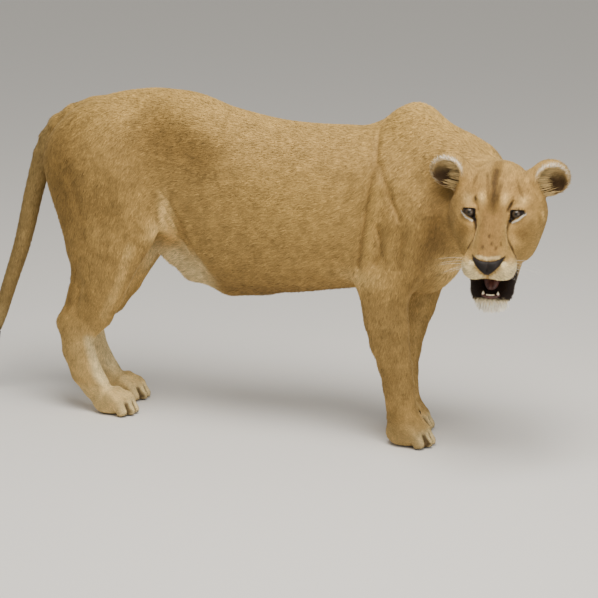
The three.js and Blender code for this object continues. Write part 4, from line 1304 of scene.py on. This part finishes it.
def point_normals(points, triangles):
    """The mean normal of the triangles round each point, weighted by their area."""
    a, b, c = (points[triangles[:, i]] for i in range(3))
    face = np.cross(b - a, c - a)
    total = np.stack([
        sum(np.bincount(triangles[:, i], face[:, axis], len(points)) for i in range(3)) for axis in range(3)
    ], 1)
    return total / (np.linalg.norm(total, axis=1)[:, None] + 1e-12)


def unwrap(mesh, places):
    """Lays the OFBake map on a mesh, from one place for each of its points."""
    corner_points = np.empty(len(mesh.loops), np.int32)
    mesh.loops.foreach_get("vertex_index", corner_points)
    layer = mesh.uv_layers.new(name="OFBake")
    layer.uv.foreach_set("vector", places[corner_points].astype(np.float32).ravel())


def shade_like_skin(mesh, normals):
    """Turns the shading of hair four fifths of the way to the skin's, so that the coat reads as one form."""
    own = np.empty((len(mesh.vertices), 3), np.float32)
    mesh.vertex_normals.foreach_get("vector", own.ravel())
    mixed = 0.8 * normals + 0.2 * own
    mesh.normals_split_custom_set_from_vertices(mixed / np.linalg.norm(mixed, axis=1)[:, None])


def slivers(root, up, lie, length, width, lift):
    """Tufts: each has three root corners, left, right and a ridge, and a tip off the skin by its lift."""
    across = np.cross(up, lie)
    base = root - 0.6 * up
    left, right = base + across * width / 2, base - across * width / 2
    ridge = base + up * (0.6 + 0.28 * width)
    tip = root + lie * length + up * lift
    points = np.stack([left, right, ridge, tip], 1).reshape(-1, 3)
    points[:, 2] = np.maximum(points[:, 2], LEAST_HEIGHT)
    faces = np.array([(0, 2, 3), (1, 3, 2), (0, 1, 2), (0, 3, 1)])
    return points, (np.arange(len(root))[:, None, None] * 4 + faces).reshape(-1, 3)


def along_skin(values, corner, share):
    """Values kept at the skin's points, mixed at places given by their triangle's corners and shares."""
    return np.einsum("ij,ijk->ik", share, values[corner])


rng = np.random.default_rng(HAIR_SEED)

# How the hair lies and how long it is at each of the skin's points.
skin_normals = point_normals(skin_points, skin_triangles)
skin_p = tuple(skin_points.T)
skin_q = head_point(skin_p)
slabs = np.array_split(skin_points, 8)
with ThreadPoolExecutor(4) as workers:
    nearness = np.concatenate(list(workers.map(lambda slab: part_distances(tuple(slab.T)), slabs)))
skin_lie = hair_lie(skin_points, skin_normals, nearness)
skin_part = nearness.argmin(1)
skin_length = hair_length(skin_p, skin_q)
bare = bare_places(skin_p, skin_q)

# Roots: each triangle gets tufts by its area over the area of a tuft, at random places in it.
a, b, c = (skin_points[skin_triangles[:, i]] for i in range(3))
area = np.linalg.norm(np.cross(b - a, c - a), axis=1) / 2
mean_length = skin_length[skin_triangles].mean(1)
cover = np.array(COVER)[skin_part[skin_triangles[:, 0]]] * ~bare[skin_triangles].all(1)
wanted = np.cumsum(area * cover / (TUFT_SLENDER * mean_length**2 / 2))
count = int(wanted[-1])
chosen = np.searchsorted(wanted, (np.arange(count) + rng.random(count)) * wanted[-1] / count)
first, second = np.sort(rng.random((2, count)), 0)
share = np.stack([first, second - first, 1 - second], 1)
corner = skin_triangles[chosen]
root = along_skin(skin_points, corner, share)
root_p = tuple(root.T)
grows = ~bare_places(root_p, head_point(root_p))
corner, share, root = corner[grows], share[grows], root[grows]

# Each tuft's own length, turn, width, lift and shade.
up = along_skin(skin_normals, corner, share)
lie = along_skin(skin_lie, corner, share)
length = along_skin(skin_length[:, None], corner, share) * rng.uniform(0.75, 1.25, (len(root), 1))
turn = np.radians(rng.normal(0, 13, (len(root), 1)))
lie = lie * np.cos(turn) + np.cross(up, lie) * np.sin(turn)
lie /= np.linalg.norm(lie, axis=1)[:, None]
width = TUFT_SLENDER * length * rng.uniform(0.8, 1.2, (len(root), 1))
depth = in_slabs(coat_depth, tuple(root.T))[:, None]
lift = np.minimum(depth * rng.uniform(0.35, 0.95, (len(root), 1)), 0.3 * length)
root_part = skin_part[corner[:, 0]]
tuft_colour = np.concatenate([coat_colours(tuple(slab.T)) for slab in np.array_split(root, 8)])
tuft_colour *= np.clip(rng.normal(1.0, 0.18, (len(root), 1)), 0.5, 1.5)
dark_hair = rng.random(len(root)) < DARK_SHARE
tuft_colour[dark_hair] *= 0.6

hair_coat = coat_material("hair_of_the_coat", 0.7, 0.08, 900)
for part, part_name in enumerate(PARTS):
    members = np.nonzero(root_part == part)[0]
    lengthwise = members[np.argsort(chart(root[members], part)[:, 1], kind="stable")]
    pieces = int(np.ceil(len(members) / MOST_TUFTS))
    for number, those in enumerate(np.array_split(lengthwise, pieces)):
        points, triangles = slivers(*(values[those] for values in (root, up, lie, length, width, lift)))
        shades = tuft_colour[those][:, None, :] * TUFT_SHADES[:, None]
        name = f"coat_{part_name}_{number + 1}"
        piece = make_piece(name, points, triangles, hair_coat, shades.reshape(-1, 3))
        patch = PATCH * np.array([(-0.5, -0.5), (0.5, -0.5), (0, 0), (0, 0.5)])
        unwrap(piece.data, (chart(root[those], part)[:, None] + patch).reshape(-1, 2))
        shade_like_skin(piece.data, np.repeat(up[those], 4, 0))


# --------------------------------------------------------------------------------------------------
# Longer hair: tapering locks that bend with their own weight, white on the chin, pale in and round the ears,
# a fringe under the belly and the dark tuft of the tail. Each is a closed three-sided horn set in the skin.

LOCK_RINGS = ((0.0, 1.0), (0.25, 0.95), (0.5, 0.75), (0.75, 0.45))  # way along, share of the width
DOWN = np.array([0, 0, -1.0])
CHIN_LOCKS, EAR_LOCKS, RIM_LOCKS, FRINGE_LOCKS, TUFT_LOCKS = 640, 260, 260, 1500, 900


def locks(root, run, length, width, droop):
    """Locks along root + run * s * length - Z * droop * length * s^2, in three-sided rings, with a tip."""
    side = np.cross(run, (0, 0, 1.0))
    side /= np.linalg.norm(side, axis=1)[:, None] + 1e-9
    over = np.cross(side, run)
    rings = []
    for along, size in LOCK_RINGS:
        middle = root + run * along * length + DOWN * droop * length * along**2
        for turn in (90, 210, 330):
            reach = size * width / 2
            across, upright = np.cos(np.radians(turn)), np.sin(np.radians(turn))
            rings.append(middle + side * across * reach + over * upright * reach)
    rings.append(root + run * length + DOWN * droop * length)
    points = np.stack(rings, 1)
    faces = [(0, 1, 2)]
    for ring in range(len(LOCK_RINGS) - 1):
        for k in range(3):
            a, b = 3 * ring + k, 3 * ring + (k + 1) % 3
            faces += [(a, a + 3, b), (b, a + 3, b + 3)]
    last = 3 * (len(LOCK_RINGS) - 1)
    faces += [(last, last + 3, last + 1), (last + 1, last + 3, last + 2), (last + 2, last + 3, last)]
    triangles = np.arange(len(root))[:, None, None] * points.shape[1] + np.array(faces)
    return points.reshape(-1, 3), triangles.reshape(-1, 3), points.shape[1]


def add_locks(name, roots, run, length, width, droop, colour, facing=None):
    """A piece of locks, each of a random shade, darker at the root and paler at the tip, lit as facing."""
    points, triangles, each = locks(roots, run / np.linalg.norm(run, axis=1)[:, None], length, width, droop)
    shade = np.clip(rng.normal(1, 0.12, (len(roots), 1, 1)), 0.7, 1.3) * np.linspace(0.8, 1.1, each)[:, None]
    paint = (np.broadcast_to(colour, (len(roots), 3))[:, None, :] * shade).reshape(-1, 3)
    piece = make_piece(name, points, triangles, hair_coat, paint)
    span = roots.max(0) - roots.min(0) + 1e-6
    places = ((roots - roots.min(0)) / span)[:, [0, 2]] * 0.96 + 0.02
    patch = PATCH * np.stack([np.arange(each) % 3 / 3, np.linspace(0, 1, each)], 1)
    unwrap(piece.data, (places[:, None] + patch).reshape(-1, 2))
    if facing is not None:
        facing = facing / np.linalg.norm(facing, axis=1)[:, None]
        shade_like_skin(piece.data, np.repeat(facing, each, 0))


def picked(weight, count):
    """Places drawn by weight from the skin's points and moved a little along it, with normals and lies."""
    chance = weight * (weight > 0.02) * point_area
    index = rng.choice(len(skin_points), count, p=chance / chance.sum())
    up = skin_normals[index]
    aside = rng.normal(0, 1.3, (count, 3))
    aside -= up * np.sum(aside * up, axis=1)[:, None]
    return skin_points[index] + aside, up, skin_lie[index]


point_area = np.bincount(skin_triangles.ravel(), np.repeat(area, 3), len(skin_points))
crown_side = ear_point(skin_q)

# Chin: white, set below the black lip, and lit from ahead.
below_lip = lip_height(skin_q) < -226
on_chin = glow(face_point(skin_q), (84, 0, -236), (46, 62, 26)) * below_lip * (mouth(skin_q) > 5)
at, out, lie_there = picked(on_chin, CHIN_LOCKS)
forward = from_head(np.array([[0.5, 0, -0.4]])) - HEAD_AT
run = lie_there * 0.5 + out * 0.55 + forward * 0.3 + np.array([0, 0, -0.6])
bright = out * 0.4 + forward * 1.2 + np.array([0, 0, 0.5])
length = rng.uniform(9, 19, (CHIN_LOCKS, 1))
width = rng.uniform(1.8, 3.0, (CHIN_LOCKS, 1))
add_locks("chin_hair", at - out, run, length, width, 0.25, WHITE_HAIR, bright)

# Ears: long hair across each hollow, and a short fringe on its rim.
hollow, whole_ear = mass(crown_side, *EAR_HOLLOW), mass(crown_side, *EAR)
in_ear = np.exp(-(((hollow - 2.5) / 3) ** 2)) * (crown_side[0] > -96) * (whole_ear < 12)
at, out, _ = picked(in_ear * step(-crown_side[1], -140, -122), EAR_LOCKS)
hand = np.sign(at[:, 0] - HEAD_AT[0])
across_ear = np.stack([0 * hand - 0.25, 0.9 * hand, 0 * hand + 0.2], 1) @ head_turn.T
run = across_ear + out * 0.35
length = rng.uniform(18, 40, (EAR_LOCKS, 1))
width = rng.uniform(1.4, 2.4, (EAR_LOCKS, 1))
add_locks("ear_hair", at - out, run, length, width, 0.1, EAR_HAIR, out + forward)

rim = np.exp(-(((hollow - 9) / 3.5) ** 2)) * (whole_ear < 10) * (0.1 + step(crown_side[2], 62, 90))
at, out, lie_there = picked(rim, RIM_LOCKS)
run = lie_there * 0.8 + out * 0.5
length = rng.uniform(3, 5, (RIM_LOCKS, 1))
width = rng.uniform(0.9, 1.4, (RIM_LOCKS, 1))
add_locks("ear_rim_hair", at - out, run, length, width, 0.1, CREAM)

# Belly: a fringe in the coat's own colours, where the skin faces the floor.
low_edge = step(-skin_normals[:, 2], 0.75, 0.95) * step(-skin_p[2], -520, -440) * step(skin_p[2], 370, 385)
at, out, lie_there = picked(low_edge * (np.abs(skin_p[1]) < 120), FRINGE_LOCKS)
run = lie_there * 0.9 + out * 0.3
own = coat_colours(tuple(at.T))
length = rng.uniform(10, 20, (FRINGE_LOCKS, 1))
width = rng.uniform(1.4, 2.4, (FRINGE_LOCKS, 1))
add_locks("belly_fringe", at - out, run, length, width, 0.1, own)

# Tail tuft: locks from a core at the tail's end, closing in towards its tip.
TUFT_MIDDLE = np.array([-921, 0, 140])
TUFT_HALF = 78
TUFT_TILT = np.radians(27)  # of the tail's end from upright

cos, sin = np.cos(TUFT_TILT), np.sin(TUFT_TILT)
tail_down = np.array([-sin, 0, -cos])
turns = rng.uniform(0, 2 * np.pi, (TUFT_LOCKS, 1))
depth_down = rng.uniform(0, 1, (TUFT_LOCKS, 1))
ring_out = np.concatenate([np.cos(turns) * cos, np.sin(turns), -np.cos(turns) * sin], 1)
core = TUFT_MIDDLE - tail_down * TUFT_HALF * 0.95
root = core + tail_down * (12 + 85 * depth_down) + ring_out * (18 - 8 * depth_down)
run = tail_down + ring_out * rng.uniform(0.1, 0.34, (TUFT_LOCKS, 1)) * (1 - 0.8 * depth_down)
length = np.minimum(rng.uniform(45, 70, (TUFT_LOCKS, 1)), (1.03 - depth_down) * 135)
width = rng.uniform(2.4, 4.0, (TUFT_LOCKS, 1))
add_locks("tail_tuft", root, run, length, width, 0.05, TUFT_DARK)


# --------------------------------------------------------------------------------------------------
# Eyes: polished glass balls painted with grey-amber irises and round pupils, seated between the lids and
# looking up out of the lowered head. Each is fuller in front, about its line of sight, as a cornea is.

IRIS_EDGE = 0.66  # radians from the line of sight
PUPIL_EDGE = 0.13
CORNEA = 0.9  # how far it bulges
EYE_PLAY = 0.2  # between the ball and its socket
GAZE = np.array([np.cos(np.radians(33)), -0.03, np.sin(np.radians(33))])  # in the head's own axes
GAZE /= np.linalg.norm(GAZE)
EYE_BLACK = (0.004, 0.003, 0.002)


def ring_stack(rings, steps):
    """Triangles over rings of points laid one after another, closed by the two points that follow them."""
    ring, after = np.arange(steps), (np.arange(steps) + 1) % steps
    rows = (np.arange(rings - 1) * steps)[:, None]
    a, b, c, d = rows + ring, rows + after, rows + steps + after, rows + steps + ring
    last, near_end, far_end = (rings - 1) * steps, rings * steps + 0 * ring, rings * steps + 1 + 0 * ring
    return np.concatenate([
        np.stack([a, b, c], -1).reshape(-1, 3),
        np.stack([a, c, d], -1).reshape(-1, 3),
        np.stack([near_end, after, ring], 1),
        np.stack([last + ring, last + after, far_end], 1),
    ])


def eyeball(centre, radius, gaze, steps=48):
    """Points at radius + cornea * exp(-(angle / 0.5)^2) from the centre, by angle from the gaze and turn
    about it, with that angle and turn laid flat for the iris."""
    side = np.cross(gaze, (0, 0, 1.0))
    side /= np.linalg.norm(side)
    over = np.cross(side, gaze)
    angle = np.linspace(0, np.pi, steps // 2 + 1)[1:-1]
    turn = np.arange(steps) * 2 * np.pi / steps
    angles, turns = np.meshgrid(angle, turn, indexing="ij")
    level, upright = np.sin(angles) * np.cos(turns), np.sin(angles) * np.sin(turns)
    way = gaze * np.cos(angles)[..., None] + side * level[..., None] + over * upright[..., None]
    reach = radius + CORNEA * np.exp(-((angles / 0.5) ** 2))
    points = (centre + way * reach[..., None]).reshape(-1, 3)
    points = np.concatenate([points, [centre + gaze * (radius + CORNEA)], [centre - gaze * radius]])
    flat = np.stack([angles * np.cos(turns), angles * np.sin(turns)], -1).reshape(-1, 2)
    return points, ring_stack(len(angle), steps), np.concatenate([flat, [(0, 0)], [(np.pi, 0)]])


def eye_material():
    """Black pupil, grey-amber iris with fibres and a dark edge, and dark round it, under a clear coat."""
    glass = Finish("eye_glass", Roughness=0.35, Specular_IOR_Level=0.3, Coat_Weight=0.2, Coat_Roughness=0.1)
    from_gaze = glass.painted("from_gaze").outputs["Vector"]
    angle, spoke = glass.node("VectorMath"), glass.node("VectorMath")
    angle.operation, spoke.operation = "LENGTH", "NORMALIZE"
    for measure in (angle, spoke):
        glass.link(from_gaze, measure.inputs[0])
    fibre = glass.node("TexNoise", Scale=9, Detail=4)
    glass.link(spoke.outputs["Vector"], fibre.inputs["Vector"])
    bands = (
        (0.0, EYE_BLACK),
        (PUPIL_EDGE, EYE_BLACK),
        (PUPIL_EDGE + 0.06, linear(46, 35, 20)),
        (0.40, linear(66, 52, 34)),
        (IRIS_EDGE - 0.12, linear(52, 38, 22)),
        (IRIS_EDGE, linear(18, 12, 8)),
        (IRIS_EDGE + 0.14, linear(24, 15, 10)),
    )
    iris = glass.ramp(angle.outputs["Value"], bands)
    glass.shaded(iris, fibre.outputs["Fac"], To_Min=0.55, To_Max=1.45)
    return glass.material


glass = eye_material()
gaze = GAZE @ head_turn.T
for side, hand in ((-1, "right"), (1, "left")):
    centre = from_head(EYE_AT * (1, side, 1))
    points, triangles, from_gaze = eyeball(centre, EYE_RADIUS - EYE_PLAY, gaze)
    eye = make_piece(f"eyeball_{hand}", points, triangles, glass)
    angles = eye.data.attributes.new("from_gaze", "FLOAT_VECTOR", "POINT")
    angles.data.foreach_set("vector", np.pad(from_gaze, ((0, 0), (0, 1))).astype(np.float32).ravel())
    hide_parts(f"eye_{hand}")


# --------------------------------------------------------------------------------------------------
# Nose: bare dark leather, finely pebbled and a little moist, standing just proud of the skin round it. It has
# comma-shaped nostrils and the crease that runs down to the lip, and is a closed piece set into the muzzle.

NOSE_CELL = 1.7
NOSE_DEPTH = 0.9  # of the leather inside the coat's outer face
NOSE_SPAN = ((118, 176), (-56, 56), (-118, -42))  # from and to, in the head's axes


def nose_form(p):
    """The nose's wedge of the muzzle, with nostrils scooped out and the middle crease cut in."""
    q = head_point(p)
    side = face_point(q)
    shape = scoop(body(p) + NOSE_DEPTH, -nose_leather(q), 4)
    hole = mass(side, (147, 19, -84), (14, 7.5, 6))
    slit = limb(side, (147, 24, -82), (138, 40, -71), 4.6, 2.4)
    shape = scoop(shape, blend(hole, slit, 4), 3)
    return shape + furrow(side, ((158, 0, -78), (160, 0, -92), (154, 0, -108)), 2.2, 2.2)


def blotched(name, scale, bands, pebbles=None, detail=2, **shader_values):
    """A surface whose colour drifts between bands with soft noise, raised in fine pebbles where their size,
    strength and height are given."""
    finish = Finish(name, **shader_values)
    cloud = finish.texture("TexNoise", Scale=scale, Detail=detail)
    finish.link(finish.ramp(cloud.outputs["Fac"], bands), finish.shader.inputs["Base Color"])
    if pebbles:
        size, strength, height = pebbles
        finish.bump(finish.texture("TexVoronoi", Scale=size).outputs["Distance"], strength, height)
    return finish.material


nose_corners = from_head(np.stack(np.meshgrid(*NOSE_SPAN, indexing="ij"), -1).reshape(-1, 3))
nose_low, nose_high = nose_corners.min(0) - 4, nose_corners.max(0) + 4
nose_points, nose_triangles = meshed(nose_form, nose_low, nose_high, NOSE_CELL)
LEATHER = ((0.35, linear(15, 9, 6)), (0.68, linear(30, 19, 13)))
leather = blotched(
    "nose_leather", 90, LEATHER, (620, 0.35, 0.0006), detail=3, Roughness=0.55, Specular_IOR_Level=0.3
)
nose = make_piece("nose", nose_points, nose_triangles, leather)
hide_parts("nose_pad")


# --------------------------------------------------------------------------------------------------
# Tongue and lower teeth: a flat tongue with a groove, rough with small papillae, behind six incisors and two
# canines of ivory enamel, yellower in patches, that stand in a bar of gum. Tongue and gum are dull wet flesh.

TONGUE = ((38, 0, -172), (38, 21, 11), 28)  # middle, half sizes, how far its tip dips in degrees
TONGUE_GROOVE = ((20, 0, -150), (46, 0, -168), (72, 0, -188))
GUM_MIDDLE = np.array([62, 0, -199])
GUM_RADIUS, GUM_BAR = 27, 5
GUM_END = np.radians(50)
TOOTH_ANGLES = (-46, -20, -12, -4, 4, 12, 20, 46)
CANINES_FROM = 40  # degrees round the arc


def tongue_form(p):
    """A flat ellipsoid with a groove along its middle."""
    q = head_point(p)
    return mass(q, *TONGUE) + furrow(q, TONGUE_GROOVE, 4, 2.2)


def boxed(middle, half):
    """The corners of a box round a place in the head's axes, along the figure's axes."""
    at = from_head(np.array([middle]))[0]
    return at - half, at + half


FLESH_PINKS = ((0.35, linear(60, 28, 22)), (0.65, linear(86, 46, 38)))
flesh = blotched("wet_flesh", 110, FLESH_PINKS, (700, 0.4, 0.0008), Roughness=0.4)
tongue_points, tongue_triangles = meshed(tongue_form, *boxed(TONGUE[0], 48), 2.2)
tongue = make_piece("tongue_flesh", tongue_points, tongue_triangles, flesh)
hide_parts("tongue")


def gum_form(p):
    """A bar bent round an arc between the canines."""
    q = head_point(p)
    x, y, z = q[0] - GUM_MIDDLE[0], q[1], q[2] - GUM_MIDDLE[2]
    turn = np.clip(np.arctan2(y, x), -GUM_END, GUM_END)
    ahead, aside = x - GUM_RADIUS * np.cos(turn), y - GUM_RADIUS * np.sin(turn)
    return np.sqrt(ahead**2 + aside**2 + z * z) - GUM_BAR


def teeth_form(p):
    """Incisors as blunt pegs and canines as curved cones, along the arc of the gum."""
    q = head_point(p)
    shape = None
    for angle in TOOTH_ANGLES:
        turn = np.radians(angle)
        at = GUM_MIDDLE + (GUM_RADIUS * np.cos(turn), GUM_RADIUS * np.sin(turn), 0)
        if abs(angle) > CANINES_FROM:
            tooth = limb(q, at, at + (1, 0, 6), 4.0, 3.0)
            tooth = blend(tooth, limb(q, at + (1, 0, 6), at + (-1, 0, 11), 3.0, 1.0), 3)
        else:
            tooth = limb(q, at, at + (1, 0, 6.5), 2.2, 1.6)
        shape = tooth if shape is None else np.minimum(shape, tooth)
    return shape


IVORY = ((0.4, linear(226, 208, 168)), (0.62, linear(246, 238, 218)))
enamel = blotched("tooth_enamel", 160, IVORY, Roughness=0.25)
gum_points, gum_triangles = meshed(gum_form, *boxed(GUM_MIDDLE + (20, 0, 0), 34), 1.6)
make_piece("lower_gum", gum_points, gum_triangles, flesh)
tooth_points, tooth_triangles = meshed(teeth_form, *boxed(GUM_MIDDLE + (20, 0, 8), 36), 0.9)
teeth = make_piece("teeth", tooth_points, tooth_triangles, enamel)
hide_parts("lower_teeth")


# --------------------------------------------------------------------------------------------------
# Claws: dark curved horn, half hidden between the toe and its fur, four on each foot and one more inside each
# foreleg. Each is a tapering ring carried along a bend that dips to its tip, streaked and half glossy.

CLAW_LENGTH, CLAW_WIDTH, CLAW_HOOK = 24, 4.6, 9
CLAW_SETBACK, CLAW_HEIGHT, CLAW_DIP = 20, 22, 20  # its root behind the toe's tip and off the floor; degrees
INNER_CLAW = (3, -40, 98, 40)  # ahead, outward, height, dip in degrees


def claw_shape(steps=12, rings=12):
    """Rings of radius width * (1 - s)^0.75 about the bend (s * length, 0, -hook * s^2), narrower across."""
    s = np.linspace(0, 1, rings + 1)[:-1][:, None]
    turn = np.arange(steps) * 2 * np.pi / steps
    size = CLAW_WIDTH * (1 - s) ** 0.75
    x = s * CLAW_LENGTH + 0 * turn
    y = 0.62 * size * np.cos(turn)
    z = -CLAW_HOOK * s**2 + size * np.sin(turn)
    points = np.stack([x, y, z], -1).reshape(-1, 3)
    points = np.concatenate([points, [(0, 0, 0)], [(CLAW_LENGTH, 0, -CLAW_HOOK)]])
    return points, ring_stack(rings, steps)


HORN = ((0.35, linear(40, 30, 22)), (0.7, linear(96, 80, 62)))
horn = blotched("claw_horn", 300, HORN, Roughness=0.35)
claw_points, claw_triangles = claw_shape()
for paw_name, lean, foot in (("forepaw", FORE_LEAN, FORE_FOOT), ("hind_paw", HIND_LEAN, HIND_FOOT)):
    slots = [(reach - CLAW_SETBACK, out, CLAW_HEIGHT, CLAW_DIP) for reach, out in TOES]
    if paw_name == "forepaw":
        slots.append(INNER_CLAW)
    for side, hand in ((-1, "right"), (1, "left")):
        for number, (reach, out, height, dip) in enumerate(slots, 1):
            dipped = claw_points @ turning(1, np.radians(dip)).T
            ahead = foot[0] + reach + side * profile(lean, 1, height)
            placed = dipped + np.array([ahead, side * (foot[1] + out), height])
            claw = make_piece(f"claw_{paw_name}_{hand}_{number}", placed, claw_triangles, horn)
            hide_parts(f"{paw_name}_{hand}_claw_{number}")


# --------------------------------------------------------------------------------------------------
# Whiskers: stiff white bristles in four rows on each lip pad, longest at the back, curving down and back.
# Each is a lock like the longer hair's, half a millimetre thick, set into the pad.

WHISKER_ROWS = ((-78, 2), (-86, 3), (-95, 3), (-104, 2))  # height in the head's axes, how many
WHISKER_WIDTH, WHISKER_DROOP = 0.5, 0.18

starts, runs, lengths = [], [], []
for side in (-1, 1):
    for height, many in WHISKER_ROWS:
        for place in range(many):
            back = place / (many - 1)
            starts.append((140 - 34 * back, side * (48 + 22 * back), height + 2 * back))
            runs.append((0.25 - 0.5 * back, side * 1.0, -0.25 + 0.12 * rng.normal()))
            lengths.append((38 + 46 * back) * rng.uniform(0.85, 1.1))
starts, runs = from_head(np.array(starts)), np.array(runs) @ head_turn.T
lengths = np.array(lengths)[:, None]
runs /= np.linalg.norm(runs, axis=1)[:, None]
widths = np.full_like(lengths, WHISKER_WIDTH)
points, triangles, each = locks(starts, runs, lengths, widths, WHISKER_DROOP)
bristle = coat_material("whisker_bristle", 0.4, 0.1, 900)
make_piece("whiskers", points, triangles, bristle, np.tile(WHITE_HAIR, (len(points), 1)))
